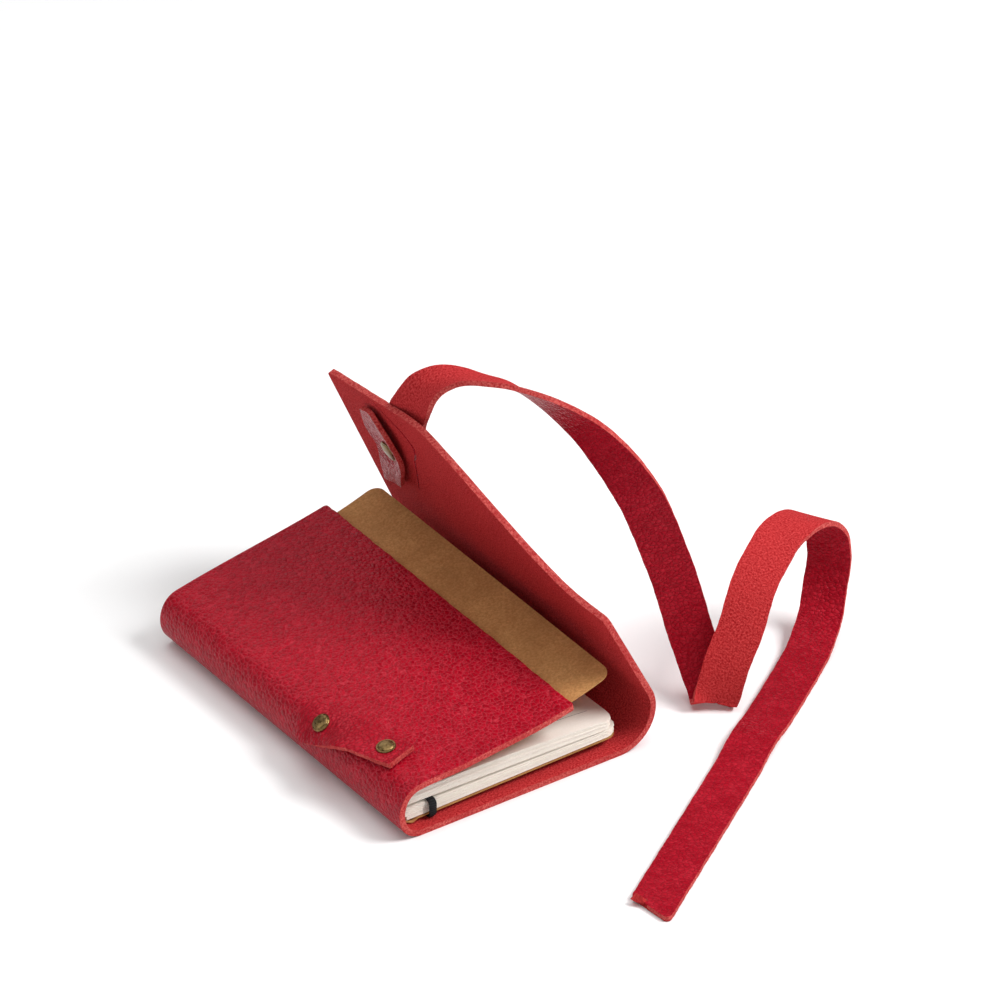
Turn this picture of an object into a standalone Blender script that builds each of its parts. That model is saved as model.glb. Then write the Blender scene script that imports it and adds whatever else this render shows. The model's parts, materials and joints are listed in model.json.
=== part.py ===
"""Pocket notebook: a one-sheet leather wrap cover with a flap and a long tie strap, round a stapled booklet.

Frame: the origin is the centre of the flat back panel's underside, which lies on the table. +X runs from
the spine to the fore edge, +Y from the tail to the head and +Z up. Everything is in metres.
"""
import bmesh
import bpy
import numpy as np
from math import atan2, cos, pi, radians, sin, sqrt, tan
from mathutils import Matrix, Vector

# Driving dimensions
GAP = 0.0003                  # between solids that touch
LEATHER = 0.0022              # cover leather
COVER_LENGTH = 0.147          # cover, head to tail
BACK_WIDTH = 0.0797           # flat back panel between the two bends
SPINE_RADIUS = 0.009          # outside of the rounded spine
FOLD_RADIUS = 0.0145          # outside of the fore-edge fold
FRONT_RISE = radians(11.5)    # slope of the front panel
SHOULDER_LENGTH = 0.006       # strip between the spine and the front panel
PRESS_GAP = 0.001             # bending line between shoulder and front panel
FRONT_LENGTH = 0.0563         # front panel, bending line to fore edge
CORNER_RADIUS = 0.002         # cut corners of the leather
FLAP_LEAN = radians(116)      # flap's slope, from +X
FLAP_SHORT = 0.036            # flap height at the tail
FLAP_TALL = 0.085             # flap height at its tongue
FLAP_STEP_START = 0.019       # from the tail to where the free edge starts to climb
FLAP_SWEEP_RADIUS = 0.071     # hollow curve of the free edge, along the fold
FLAP_SWEEP_DEPTH = 0.044      # the same curve's radius up the flap
FLAP_SWEEP = radians(58)      # its turn
FLAP_TONGUE_RADIUS = 0.012    # round of the tongue
FLAP_TONGUE_STEP = 0.004      # straight stretch between the hollow and the tongue
FLAP_TIP_SLOPE = radians(11)  # the tip falls away from the tongue to the head
FLAP_HEAD_TAPER = 0.004       # the head side leans in by this at the tip

PAGE_LENGTH = 0.139           # leaves, head to tail
PAGE_SHIFT = 0.0005           # booklet's offset towards the head
FORE_ROOM = 0.00945           # between the lower leaves' fore edge and the inside of the fold
UPPER_SET_BACK = 0.0015       # upper leaves' fore edge behind the lower ones
PAGE_CORNER = 0.005           # rounded corners of the leaves
LEAF_SECTIONS = 3             # sections modelled in each half of the booklet
KRAFT = 0.0004                # cover paper
BOOK_LIFT = 0.0014            # booklet's underside above the leather, at the spine
BOOK_FORE_LIFT = 0.003        # the same at the fore edge
BOOK_HEADROOM = 0.0012        # between the top leaf and the inside of the rounded spine
LOWER_AT_FORE = 0.0026        # lower leaves' thickness at the fore edge
UPPER_AT_FORE = 0.0031        # upper leaves' thickness there
UPPER_HUMP = 0.0010           # the pages bulge by this between spine and fore edge
MIDDLE_AT_SPINE = 0.0016      # parting in the middle of the booklet
MIDDLE_AT_FORE = 0.0004
KRAFT_FLAT = 0.047            # front cover's straight stretch under the leather
KRAFT_CURL_RADIUS = 0.1604    # its upward curl past the leather
KRAFT_SET_BACK = 0.0047       # flat and curl together are this much shorter than the back panel
KRAFT_CLEAR = 0.0005          # between cover paper and leather
KRAFT_START = 0.0006          # front cover's hinged edge past the front panel's bending line
KRAFT_CORNER = 0.0035
KRAFT_FLAT_FROM = 0.0012      # back cover lies flat from this far past the spine's centre
LEAF_RECESS = 0.0002          # the upper leaves reach this far behind their hinge
LEAF_CLEAR = 0.0009           # between the leaves' folded edge and the rounded spine

ELASTIC_WIDTH = 0.003
ELASTIC_THICKNESS = 0.0007
ELASTIC_FROM_SPINE = 0.0060   # elastic's centre from the spine's centre
STAPLE_LENGTH = 0.012
STAPLE_WIRE = 0.0005
STAPLE_SPREAD = 0.072         # between the two staples' centres
STAPLE_CLEAR = 0.0002         # between staple and leather

STRAP_WIDTH = 0.0155
STRAP_THICKNESS = 0.0018
STRAP_STEP = 0.0055           # between rings of the strap's solid
STRAP_SLANT = 0.008           # the free end is cut on a slant, one edge longer than the other by this
TAB_LENGTH = 0.038            # strap's end on the flap's inner face
TAB_DROP = 0.035              # its centre below the flap's tongue
TAB_Y = 0.0445
TAB_TILT = radians(14)        # leans towards the tail as it climbs
TAB_CORNERS = (0.006, 0.003)  # radii at its foot and its top
TAB_RIVET = -0.001            # rivet's place along the tab, from its centre

KEEPER_LENGTH = 0.046
KEEPER_WIDTH = 0.0125
KEEPER_THICKNESS = 0.0018
KEEPER_U = -0.0012            # keeper's centre along the cover, from the end of the spine's bend
KEEPER_FROM_TAIL = 0.0368
KEEPER_CORNER = 0.0035
KEEPER_TURN = radians(14)     # from the spine's direction
KEEPER_RAISE = 0.0025         # its middle stands off the cover
RIVET_SPACING = 0.0282
RIVET_SHIFT = -0.0018         # the pair of rivets sits this much nearer the keeper's tail end
RIVET_CAP_RADIUS = 0.0033
RIVET_CAP_HEIGHT = 0.0012
RIVET_SHANK_RADIUS = 0.0011
RIVET_BASE_RADIUS = 0.0019
RIVET_BASE_HEIGHT = 0.0004
RIVET_DRILL = 0.013           # length of the guide that drills a rivet's hole

# The strap's route: centre of the strap and the direction across it, in metres
STRAP_ROUTE = (
    ((0.0262, 0.0330, 0.0813), (0.35, -0.62, -0.71)),
    ((0.0231, 0.0270, 0.0875), (0.30, -0.70, -0.62)),
    ((0.0193, 0.0190, 0.0957), (0.12, -0.96, -0.25)),
    ((0.0202, 0.0140, 0.1040), (0.00, -0.99, -0.10)),
    ((0.0237, 0.0090, 0.1095), (-0.15, -0.98, 0.10)),
    ((0.0285, 0.0030, 0.1125), (-0.30, -0.92, 0.22)),
    ((0.0340, -0.0040, 0.1130), (-0.38, -0.86, 0.32)),
    ((0.0400, -0.0120, 0.1120), (-0.30, -0.88, 0.36)),
    ((0.0480, -0.0220, 0.1072), (-0.08, -0.88, 0.46)),
    ((0.0562, -0.0316, 0.0990), (0.20, -0.80, 0.56)),
    ((0.0630, -0.0386, 0.0880), (0.45, -0.66, 0.60)),
    ((0.0695, -0.0442, 0.0740), (0.65, -0.52, 0.55)),
    ((0.0755, -0.0469, 0.0569), (0.78, -0.46, 0.42)),
    ((0.0805, -0.0493, 0.0404), (0.82, -0.48, 0.30)),
    ((0.0835, -0.0526, 0.0249), (0.80, -0.56, 0.20)),
    ((0.0845, -0.0592, 0.0122), (0.77, -0.63, 0.08)),
    ((0.0842, -0.0644, 0.0056), (0.77, -0.64, 0.02)),
    ((0.0834, -0.0668, 0.0028), (0.77, -0.64, 0.00)),
    ((0.0826, -0.0688, 0.0031), (0.77, -0.64, 0.00)),
    ((0.0832, -0.0702, 0.0067), (0.76, -0.65, -0.04)),
    ((0.0863, -0.0702, 0.0165), (0.68, -0.71, -0.12)),
    ((0.0935, -0.0690, 0.0295), (0.62, -0.76, -0.18)),
    ((0.1005, -0.0656, 0.0405), (0.60, -0.77, -0.20)),
    ((0.1090, -0.0617, 0.0465), (0.60, -0.77, -0.20)),
    ((0.1185, -0.0571, 0.0500), (0.60, -0.78, -0.16)),
    ((0.1295, -0.0530, 0.0500), (0.58, -0.80, -0.12)),
    ((0.1400, -0.0490, 0.0455), (0.58, -0.80, -0.10)),
    ((0.1475, -0.0460, 0.0370), (0.58, -0.80, -0.10)),
    ((0.1490, -0.0470, 0.0270), (0.57, -0.81, -0.08)),
    ((0.1470, -0.0480, 0.0175), (0.57, -0.82, -0.06)),
    ((0.1410, -0.0530, 0.0080), (0.56, -0.83, -0.03)),
    ((0.1300, -0.0610, 0.0028), (0.55, -0.84, 0.00)),
    ((0.1180, -0.0690, 0.0014), (0.55, -0.84, 0.00)),
    ((0.0950, -0.0842, 0.0012), (0.55, -0.84, 0.00)),
    ((0.0790, -0.0946, 0.0026), (0.55, -0.84, 0.00)),
    ((0.0650, -0.1040, 0.0013), (0.55, -0.84, 0.00)),
    ((0.0350, -0.1238, 0.0011), (0.55, -0.84, 0.00)),
    ((-0.0035, -0.1492, 0.0011), (0.55, -0.84, 0.00)),
)

# Worked out from the driving dimensions
HALF = COVER_LENGTH / 2
KRAFT_CURL_LENGTH = BACK_WIDTH - KRAFT_SET_BACK - KRAFT_FLAT
KRAFT_CURL = KRAFT_CURL_LENGTH / KRAFT_CURL_RADIUS
SPINE = Vector((-BACK_WIDTH / 2, 0, SPINE_RADIUS))
FOLD = Vector((BACK_WIDTH / 2, 0, FOLD_RADIUS))
ARC_STEPS = 20
ROUND_SEGMENTS = 24
LOWER_FORE_EDGE = FOLD.x + FOLD_RADIUS - LEATHER - FORE_ROOM
LEAVES_AT_SPINE = SPINE_RADIUS - LEATHER - (BOOK_LIFT + KRAFT + GAP + MIDDLE_AT_SPINE + BOOK_HEADROOM) / 2
TAB_HEIGHT = FLAP_TALL - TAB_DROP
KEEPER_Y = -HALF + KEEPER_FROM_TAIL
PAGE_TAIL = -PAGE_LENGTH / 2 + PAGE_SHIFT
PAGE_HEAD = PAGE_LENGTH / 2 + PAGE_SHIFT
LEAF_RADIUS = SPINE_RADIUS - LEATHER - LEAF_CLEAR


def material(name, colour, roughness, metallic=0.0):
    made = bpy.data.materials.new(name)
    made.use_nodes = True
    shader = made.node_tree.nodes["Principled BSDF"]
    shader.inputs["Base Color"].default_value = (*colour, 1)
    shader.inputs["Roughness"].default_value = roughness
    shader.inputs["Metallic"].default_value = metallic
    return made


def joint_axis(name, point, parent=None):
    """An empty on a joint's axis, which runs along Y."""
    made = bpy.data.objects.new(name, None)
    made.empty_display_size = 0.01
    bpy.context.collection.objects.link(made)
    made.parent = parent
    made.location = point - (world_point(parent) if parent else Vector())
    return made


def world_point(empty):
    place = Vector()
    while empty:
        place += empty.location
        empty = empty.parent
    return place


def add_object(name, mesh, look, parent=None):
    """Link a mesh made in the part's frame, with its origin on its parent's joint axis."""
    if parent:
        mesh.transform(Matrix.Translation(-world_point(parent)))
    mesh.materials.append(look)
    made = bpy.data.objects.new(name, mesh)
    bpy.context.collection.objects.link(made)
    made.parent = parent
    return made


def close_mesh(name, bm, smooth=True):
    bmesh.ops.recalc_face_normals(bm, faces=bm.faces)
    mesh = bpy.data.meshes.new(name)
    bm.to_mesh(mesh)
    bm.free()
    if smooth:
        mesh.shade_smooth()
        mesh.set_sharp_from_angle(angle=radians(30))
    return mesh


def rings_mesh(name, rings):
    """A closed solid through rings of equal length, capped at both ends."""
    bm = bmesh.new()
    loops = [[bm.verts.new(point) for point in ring] for ring in rings]
    for near, far in zip(loops, loops[1:]):
        for i in range(len(near)):
            j = (i + 1) % len(near)
            bm.faces.new((near[i], near[j], far[j], far[i]))
    bm.faces.new(loops[0])
    bm.faces.new(loops[-1])
    return close_mesh(name, bm)


def slab_mesh(name, outline, thickness, place):
    """An outline in a plane's u and v, extruded along its normal by the thickness."""
    bottom = [place @ Vector((u, v, 0)) for u, v in outline]
    top = [place @ Vector((u, v, thickness)) for u, v in outline]
    return rings_mesh(name, [bottom, top])


def band_mesh(name, profile, tail, head):
    """A closed profile in X and Z, extruded along Y."""
    return rings_mesh(name, [[Vector((x, y, z)) for x, z in profile] for y in (tail, head)])


def arc(centre, radius, start, end, steps):
    """Points in a plane on an arc."""
    angles = np.linspace(start, end, steps + 1)
    return [(centre[0] + radius * cos(a), centre[1] + radius * sin(a)) for a in angles]


def bend_profile(centre, radius, start, end):
    middle = (centre.x, centre.z)
    outer = arc(middle, radius, start, end, ARC_STEPS)
    return outer + arc(middle, radius - LEATHER, end, start, ARC_STEPS)


def rounded_box(low_u, high_u, low_v, high_v, radii):
    """A rectangle's outline with a radius for each corner, from the low corner anticlockwise."""
    corners = ((low_u, low_v), (high_u, low_v), (high_u, high_v), (low_u, high_v))
    inward = ((1, 1), (-1, 1), (-1, -1), (1, -1))
    points = []
    for k, (corner, side, radius) in enumerate(zip(corners, inward, radii)):
        if radius == 0:
            points.append(corner)
            continue
        centre = (corner[0] + side[0] * radius, corner[1] + side[1] * radius)
        start = pi + k * pi / 2
        points += arc(centre, radius, start, start + pi / 2, 6)
    return points


def sheet_place(point, along, normal):
    """A plane with u along a direction, v along Y and its normal outwards."""
    side = Vector((0, 1, 0))
    matrix = Matrix.Identity(4)
    for column, axis in enumerate((along, side, normal)):
        for row in range(3):
            matrix[row][column] = axis[row]
    matrix.translation = point
    return matrix


FRONT_ALONG = Vector((cos(FRONT_RISE), 0, sin(FRONT_RISE)))
FRONT_OUT = Vector((-sin(FRONT_RISE), 0, cos(FRONT_RISE)))
FLAP_ALONG = Vector((cos(FLAP_LEAN), 0, sin(FLAP_LEAN)))
FLAP_OUT = Vector((sin(FLAP_LEAN), 0, -cos(FLAP_LEAN)))
FRONT_START = SPINE + SPINE_RADIUS * FRONT_OUT
FLAP_START = FOLD + FOLD_RADIUS * FLAP_OUT
PRESS_AXIS = FRONT_START + (SHOULDER_LENGTH + PRESS_GAP / 2) * FRONT_ALONG - LEATHER / 2 * FRONT_OUT


def on_cover(u, y, height):
    """A point on or above the cover's outside, by its distance past the spine's bend."""
    u, y, height = float(u), float(y), float(height)
    if u >= 0:
        return FRONT_START + u * FRONT_ALONG + height * FRONT_OUT + Vector((0, y, 0))
    angle = pi / 2 + FRONT_RISE - u / SPINE_RADIUS
    out = Vector((cos(angle), 0, sin(angle)))
    return SPINE + (SPINE_RADIUS + height) * out + Vector((0, y, 0))


def cover_normal(u):
    angle = pi / 2 + FRONT_RISE - min(u, 0) / SPINE_RADIUS
    return Vector((cos(angle), 0, sin(angle)))


def facing(point, out):
    """A placing of +Z along a direction, at a point."""
    return Matrix.Translation(point) @ Vector((0, 0, 1)).rotation_difference(out).to_matrix().to_4x4()


def rivet_cutter(name, point, out, depth):
    """A guide that drills the shank's hole through the leather."""
    bm = bmesh.new()
    bmesh.ops.create_cone(bm, cap_ends=True, segments=ROUND_SEGMENTS, radius1=RIVET_SHANK_RADIUS + GAP,
                          radius2=RIVET_SHANK_RADIUS + GAP, depth=depth)
    mesh = close_mesh(name, bm)
    made = bpy.data.objects.new(name, mesh)
    bpy.context.collection.objects.link(made)
    made.matrix_world = facing(point, out)
    made.hide_render = True
    made.display_type = "WIRE"
    return made


def drill(target, cutter):
    cut = target.modifiers.new(cutter.name, "BOOLEAN")
    cut.operation = "DIFFERENCE"
    cut.object = cutter


def turned_mesh(name, profile, point, out):
    """A closed profile of radius and height turned round an axis that points out."""
    turn = facing(point, out)
    angles = [2 * pi * i / ROUND_SEGMENTS for i in range(ROUND_SEGMENTS)]
    bm = bmesh.new()
    rings = []
    for radius, height in profile:
        if radius == 0:
            rings.append([bm.verts.new(turn @ Vector((0, 0, height)))])
            continue
        ring = [Vector((radius * cos(a), radius * sin(a), height)) for a in angles]
        rings.append([bm.verts.new(turn @ place) for place in ring])
    pairs = list(zip(rings, rings[1:]))
    if profile[0][0] != 0:
        pairs.append((rings[-1], rings[0]))
    for near, far in pairs:
        for i in range(ROUND_SEGMENTS):
            j = (i + 1) % ROUND_SEGMENTS
            corners = [near[i % len(near)], near[j % len(near)], far[j % len(far)], far[i % len(far)]]
            bm.faces.new(list(dict.fromkeys(corners)))
    return close_mesh(name, bm)


def rivet_cap_profile(cover_thickness):
    """A domed cap whose shank reaches back through what it fastens; height 0 is its seat."""
    dome = [(RIVET_CAP_RADIUS * sin(a), RIVET_CAP_HEIGHT * cos(a)) for a in np.linspace(0, pi / 2, 7)]
    dome[0] = (0, RIVET_CAP_HEIGHT)
    end = -cover_thickness
    return dome + [(RIVET_SHANK_RADIUS, 0), (RIVET_SHANK_RADIUS, end), (0, end)]


def rivet_base_profile():
    """The set end: a flat ring round the shank; height 0 is the face it sits against."""
    hole = RIVET_SHANK_RADIUS + GAP
    return [(hole, 0), (RIVET_BASE_RADIUS, 0), (RIVET_BASE_RADIUS, -RIVET_BASE_HEIGHT),
            (hole, -RIVET_BASE_HEIGHT)]


def add_rivet(names, point, out, stack, look, parent=None):
    """Cap, shank and set end through a stack of leather, with the cap's seat at the point."""
    cap_name, post_name = names
    length = stack + RIVET_BASE_HEIGHT + 2 * GAP
    cap = turned_mesh(cap_name, rivet_cap_profile(length), point + GAP * out, out)
    post = turned_mesh(post_name, rivet_base_profile(), point - (stack + GAP) * out, out)
    add_object(cap_name, cap, look, parent)
    add_object(post_name, post, look, parent)


# Leather cover

def cover_back(look):
    outline = rounded_box(SPINE.x + GAP, FOLD.x - GAP, -HALF, HALF, (0, 0, 0, 0))
    add_object("cover_back", slab_mesh("cover_back", outline, LEATHER, Matrix.Identity(4)), look)


def cover_spine(look):
    profile = bend_profile(SPINE, SPINE_RADIUS, 1.5 * pi, pi / 2 + FRONT_RISE)
    return add_object("cover_spine", band_mesh("cover_spine", profile, -HALF, HALF), look)


def cover_fore_edge(look):
    profile = bend_profile(FOLD, FOLD_RADIUS, -pi / 2, FLAP_LEAN - pi / 2)
    add_object("cover_fore_edge", band_mesh("cover_fore_edge", profile, -HALF, HALF), look)


def front_sheet(name, start, end, radii, look, parent):
    outline = rounded_box(start, end, -HALF, HALF, radii)
    place = sheet_place(FRONT_START - LEATHER * FRONT_OUT, FRONT_ALONG, FRONT_OUT)
    return add_object(name, slab_mesh(name, outline, LEATHER, place), look, parent)


def flap_outline():
    """The flap's cut edge, with u up the flap and v along the fold."""
    step_v = -HALF + FLAP_STEP_START
    hollow = [(FLAP_SHORT + FLAP_SWEEP_DEPTH * (1 - cos(a)), step_v + FLAP_SWEEP_RADIUS * sin(a))
              for a in np.linspace(0, FLAP_SWEEP, 12)]
    tongue_u = FLAP_TALL - FLAP_TONGUE_RADIUS
    tongue_v = hollow[-1][1] + FLAP_TONGUE_STEP + FLAP_TONGUE_RADIUS * sin(FLAP_SWEEP)
    tongue = arc((tongue_u, tongue_v), FLAP_TONGUE_RADIUS, -FLAP_SWEEP, FLAP_TIP_SLOPE, 8)
    head_v = HALF - FLAP_HEAD_TAPER
    tip_u = tongue[-1][0] - (head_v - CORNER_RADIUS - tongue[-1][1]) * tan(FLAP_TIP_SLOPE)
    tip = arc((tip_u - CORNER_RADIUS, head_v - CORNER_RADIUS), CORNER_RADIUS, 0, pi / 2, 3)
    tail = arc((FLAP_SHORT - CORNER_RADIUS, -HALF + CORNER_RADIUS), CORNER_RADIUS, -pi / 2, 0, 3)
    return [(GAP, HALF), (GAP, -HALF)] + tail + hollow + tongue + tip


def cover_flap(look, parent):
    place = sheet_place(FLAP_START - LEATHER * FLAP_OUT, FLAP_ALONG, FLAP_OUT)
    return add_object("cover_flap", slab_mesh("cover_flap", flap_outline(), LEATHER, place), look, parent)


# Keeper across the spine's shoulder

def keeper_height(along):
    """The keeper lies on the cover at its ends and stands off between its rivets."""
    reach = RIVET_SPACING / 2 - RIVET_CAP_RADIUS
    share = min(abs(along - RIVET_SHIFT) / reach, 1)
    return GAP + KEEPER_RAISE * (1 - share * share) ** 2


def keeper(look):
    """A short strip across the spine's shoulder, with rounded corners."""
    half = KEEPER_LENGTH / 2
    rings = []
    for angle in np.linspace(-radians(88), radians(88), 45):
        along = half * sin(angle)
        inset = max(abs(along) - (half - KEEPER_CORNER), 0)
        width = KEEPER_WIDTH / 2 - KEEPER_CORNER + sqrt(KEEPER_CORNER ** 2 - inset ** 2)
        low, high = [], []
        for across in np.linspace(-width, width, 9):
            u = KEEPER_U + across * cos(KEEPER_TURN) - along * sin(KEEPER_TURN)
            y = KEEPER_Y + across * sin(KEEPER_TURN) + along * cos(KEEPER_TURN)
            height = keeper_height(along)
            low.append(on_cover(u, y, height))
            high.append(on_cover(u, y, height + KEEPER_THICKNESS))
        rings.append(low + high[::-1])
    return add_object("keeper", rings_mesh("keeper", rings), look)


def keeper_rivets(look, keeper_part, leather_parts):
    for number, side in ((1, 1), (2, -1)):
        along = RIVET_SHIFT + side * RIVET_SPACING / 2
        u = KEEPER_U - along * sin(KEEPER_TURN)
        y = KEEPER_Y + along * cos(KEEPER_TURN)
        out = cover_normal(u)
        seat = on_cover(u, y, GAP + KEEPER_THICKNESS)
        cutter = rivet_cutter(f"keeper_rivet_hole_{number}", on_cover(u, y, 0), out, RIVET_DRILL)
        for target in [keeper_part] + leather_parts:
            drill(target, cutter)
        names = (f"keeper_rivet_cap_{number}", f"keeper_rivet_post_{number}")
        add_rivet(names, seat, out, KEEPER_THICKNESS + LEATHER + 2 * GAP, look)


# Strap

def route_curve():
    """The strap's centre and cross direction, read from a smooth curve through the route."""
    points = [np.array(point) for point, _ in STRAP_ROUTE]
    sides = [np.array(side) for _, side in STRAP_ROUTE]
    dense = []
    for k in range(len(points) - 1):
        before, after = max(k - 1, 0), min(k + 2, len(points) - 1)
        steps = max(int(np.linalg.norm(points[k + 1] - points[k]) / STRAP_STEP), 1)
        for t in np.arange(steps) / steps:
            dense.append([spline(group[before], group[k], group[k + 1], group[after], t)
                          for group in (points, sides)])
    dense.append([points[-1], sides[-1]])
    return dense


def spline(before, start, end, after, t):
    """Catmull-Rom interpolation between start and end."""
    return 0.5 * (2 * start + (end - before) * t + (2 * before - 5 * start + 4 * end - after) * t ** 2
                  + (3 * start - before - 3 * end + after) * t ** 3)


def strap(look):
    stations = route_curve()
    rings = []
    for k, (point, side) in enumerate(stations):
        along = Vector(stations[min(k + 1, len(stations) - 1)][0] - stations[max(k - 1, 0)][0]).normalized()
        across = Vector(side)
        across = (across - across.dot(along) * along).normalized() * STRAP_WIDTH / 2
        face = across.cross(along).normalized() * STRAP_THICKNESS / 2
        if k == len(stations) - 1:
            across += STRAP_SLANT / 2 * along
        centre = Vector(point)
        rings.append([centre - across - face, centre + across - face, centre + across + face,
                      centre - across + face])
    return add_object("strap", rings_mesh("strap", rings), look)


def tab_frame():
    """A plane on the flap's inner face, with u up along the tab."""
    tilt = Matrix.Rotation(-TAB_TILT, 4, "Z")
    place = sheet_place(FLAP_START - (LEATHER + GAP) * FLAP_OUT + TAB_HEIGHT * FLAP_ALONG
                        + Vector((0, TAB_Y, 0)), FLAP_ALONG, FLAP_OUT)
    return place @ tilt @ Matrix.Translation((0, 0, -STRAP_THICKNESS))


def strap_tab(look, parent):
    half = TAB_LENGTH / 2
    side = STRAP_WIDTH / 2
    low, high = TAB_CORNERS
    outline = rounded_box(-half, half, -side, side, (low, high, high, low))
    mesh = slab_mesh("strap_tab", outline, STRAP_THICKNESS, tab_frame())
    return add_object("strap_tab", mesh, look, parent)


def strap_rivet(look, tab, flap, parent):
    place = tab_frame()
    seat = place @ Vector((TAB_RIVET, 0, 0))
    out = -FLAP_OUT
    cutter = rivet_cutter("strap_rivet_hole", seat, out, RIVET_DRILL)
    for target in (tab, flap):
        drill(target, cutter)
    names = ("strap_rivet_cap", "strap_rivet_post")
    add_rivet(names, seat, out, STRAP_THICKNESS + LEATHER + GAP, look, parent)


# Booklet

def fore_share(x):
    """0 at the spine's centre and 1 at the lower leaves' fore edge."""
    return (x - SPINE.x) / (LOWER_FORE_EDGE - SPINE.x)


def level(x, at_spine, at_fore, hump=0.0):
    share = fore_share(x)
    bulge = hump * 4 * max(share, 0) * (1 - max(share, 0))
    return at_spine + (at_fore - at_spine) * share + bulge


UNDERSIDE = (LEATHER + BOOK_LIFT, LEATHER + BOOK_FORE_LIFT)
LOWER_BASE = tuple(z + KRAFT + GAP for z in UNDERSIDE)
LOWER_TOP = (LOWER_BASE[0] + LEAVES_AT_SPINE, LOWER_BASE[1] + LOWER_AT_FORE)
UPPER_BASE = (LOWER_TOP[0] + MIDDLE_AT_SPINE, LOWER_TOP[1] + MIDDLE_AT_FORE)
UPPER_TOP = (UPPER_BASE[0] + LEAVES_AT_SPINE, UPPER_BASE[1] + UPPER_AT_FORE)
LEAF_AXIS = Vector((SPINE.x - 0.0028, 0, UPPER_TOP[0] + 0.0002))


def spine_limit(z):
    """How far the leaves reach into the rounded spine at a height."""
    return SPINE.x - sqrt(max(LEAF_RADIUS ** 2 - (z - SPINE.z) ** 2, 0))


def section_band(name, low, high, hump_low, hump_high, left, right, look, parent=None):
    """A section of leaves between two surfaces, given by their heights at the spine and fore edge."""
    xs = np.linspace(left, right, 13)
    profile = [(x, level(x, *low, hump_low)) for x in xs]
    profile += [(x, level(x, *high, hump_high)) for x in xs[::-1]]
    made = add_object(name, band_mesh(name, profile, PAGE_TAIL, PAGE_HEAD), look, parent)
    round_corners(made, right - GAP / 10, PAGE_CORNER)
    return made


def round_corners(made, reach, radius):
    """Round the two corners of a sheet at its fore edge, which lies past the given X."""
    shift = world_point(made.parent).x
    bm = bmesh.new()
    bm.from_mesh(made.data)
    edges = [e for e in bm.edges
             if all(v.co.x + shift > reach for v in e.verts)
             and abs(e.verts[0].co.y - e.verts[1].co.y) < GAP / 10]
    bmesh.ops.bevel(bm, geom=edges, offset=radius, segments=5, affect="EDGES", profile=0.5)
    bm.to_mesh(made.data)
    bm.free()


def split(low, high, index, total):
    """The index-th of equal sections between two surfaces, less a gap above it."""
    def between(share):
        return tuple(a + (b - a) * share for a, b in zip(low, high))
    bottom = between(index / total)
    top = between((index + 1) / total)
    if index < total - 1:
        top = tuple(z - GAP for z in top)
    return bottom, top


def lower_leaves(look):
    for index in range(LEAF_SECTIONS):
        low, high = split(LOWER_BASE, LOWER_TOP, index, LEAF_SECTIONS)
        left = spine_limit(low[0]) + GAP
        section_band(f"lower_leaves_{index + 1}", low, high, 0, 0, left, LOWER_FORE_EDGE, look)


def upper_leaves(look, axes):
    right = LOWER_FORE_EDGE - UPPER_SET_BACK
    for index in range(LEAF_SECTIONS):
        low, high = split(UPPER_BASE, UPPER_TOP, index, LEAF_SECTIONS)
        humps = (UPPER_HUMP * index / LEAF_SECTIONS, UPPER_HUMP * (index + 1) / LEAF_SECTIONS)
        left = max(LEAF_AXIS.x - LEAF_RECESS, spine_limit(high[0]) + GAP)
        section_band(f"upper_leaves_{index + 1}", low, high, *humps, left, right, look, axes[index])


def kraft_back(look):
    """The booklet's back cover, which turns up inside the spine."""
    xs = np.linspace(SPINE.x + KRAFT_FLAT_FROM, LOWER_FORE_EDGE, 6)
    outer = SPINE_RADIUS - LEATHER - KRAFT_CLEAR
    middle = (SPINE.x, SPINE.z)
    under = arc(middle, outer, radians(190), radians(262), 8)
    over = arc(middle, outer - KRAFT, radians(262), radians(190), 8)
    profile = under + [(x, level(x, *UNDERSIDE)) for x in xs]
    profile += [(x, level(x, *UNDERSIDE) + KRAFT) for x in xs[::-1]] + over
    made = add_object("kraft_back", band_mesh("kraft_back", profile, PAGE_TAIL - GAP, PAGE_HEAD + GAP), look)
    round_corners(made, LOWER_FORE_EDGE - GAP / 10, PAGE_CORNER)


def kraft_front(look, parent):
    """The booklet's front cover: straight under the leather, then curling up past its edge."""
    start = PRESS_AXIS + KRAFT_START * FRONT_ALONG - (LEATHER / 2 + KRAFT_CLEAR + KRAFT) * FRONT_OUT
    path = [(start, FRONT_RISE), (start + KRAFT_FLAT * FRONT_ALONG, FRONT_RISE)]
    steps = 8
    for k in range(steps):
        place, angle = path[-1]
        turn = angle + KRAFT_CURL / steps
        step = KRAFT_CURL_LENGTH / steps
        path.append((place + step * Vector((cos(turn), 0, sin(turn))), turn))
    under = [(p.x, p.z) for p, _ in path]
    over = [(p.x - KRAFT * sin(a), p.z + KRAFT * cos(a)) for p, a in path]
    mesh = band_mesh("kraft_front", under + over[::-1], PAGE_TAIL - GAP, PAGE_HEAD + GAP)
    made = add_object("kraft_front", mesh, look, parent)
    far = max(v.co.x for v in made.data.vertices) + world_point(parent).x
    round_corners(made, far - KRAFT, KRAFT_CORNER)


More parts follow.
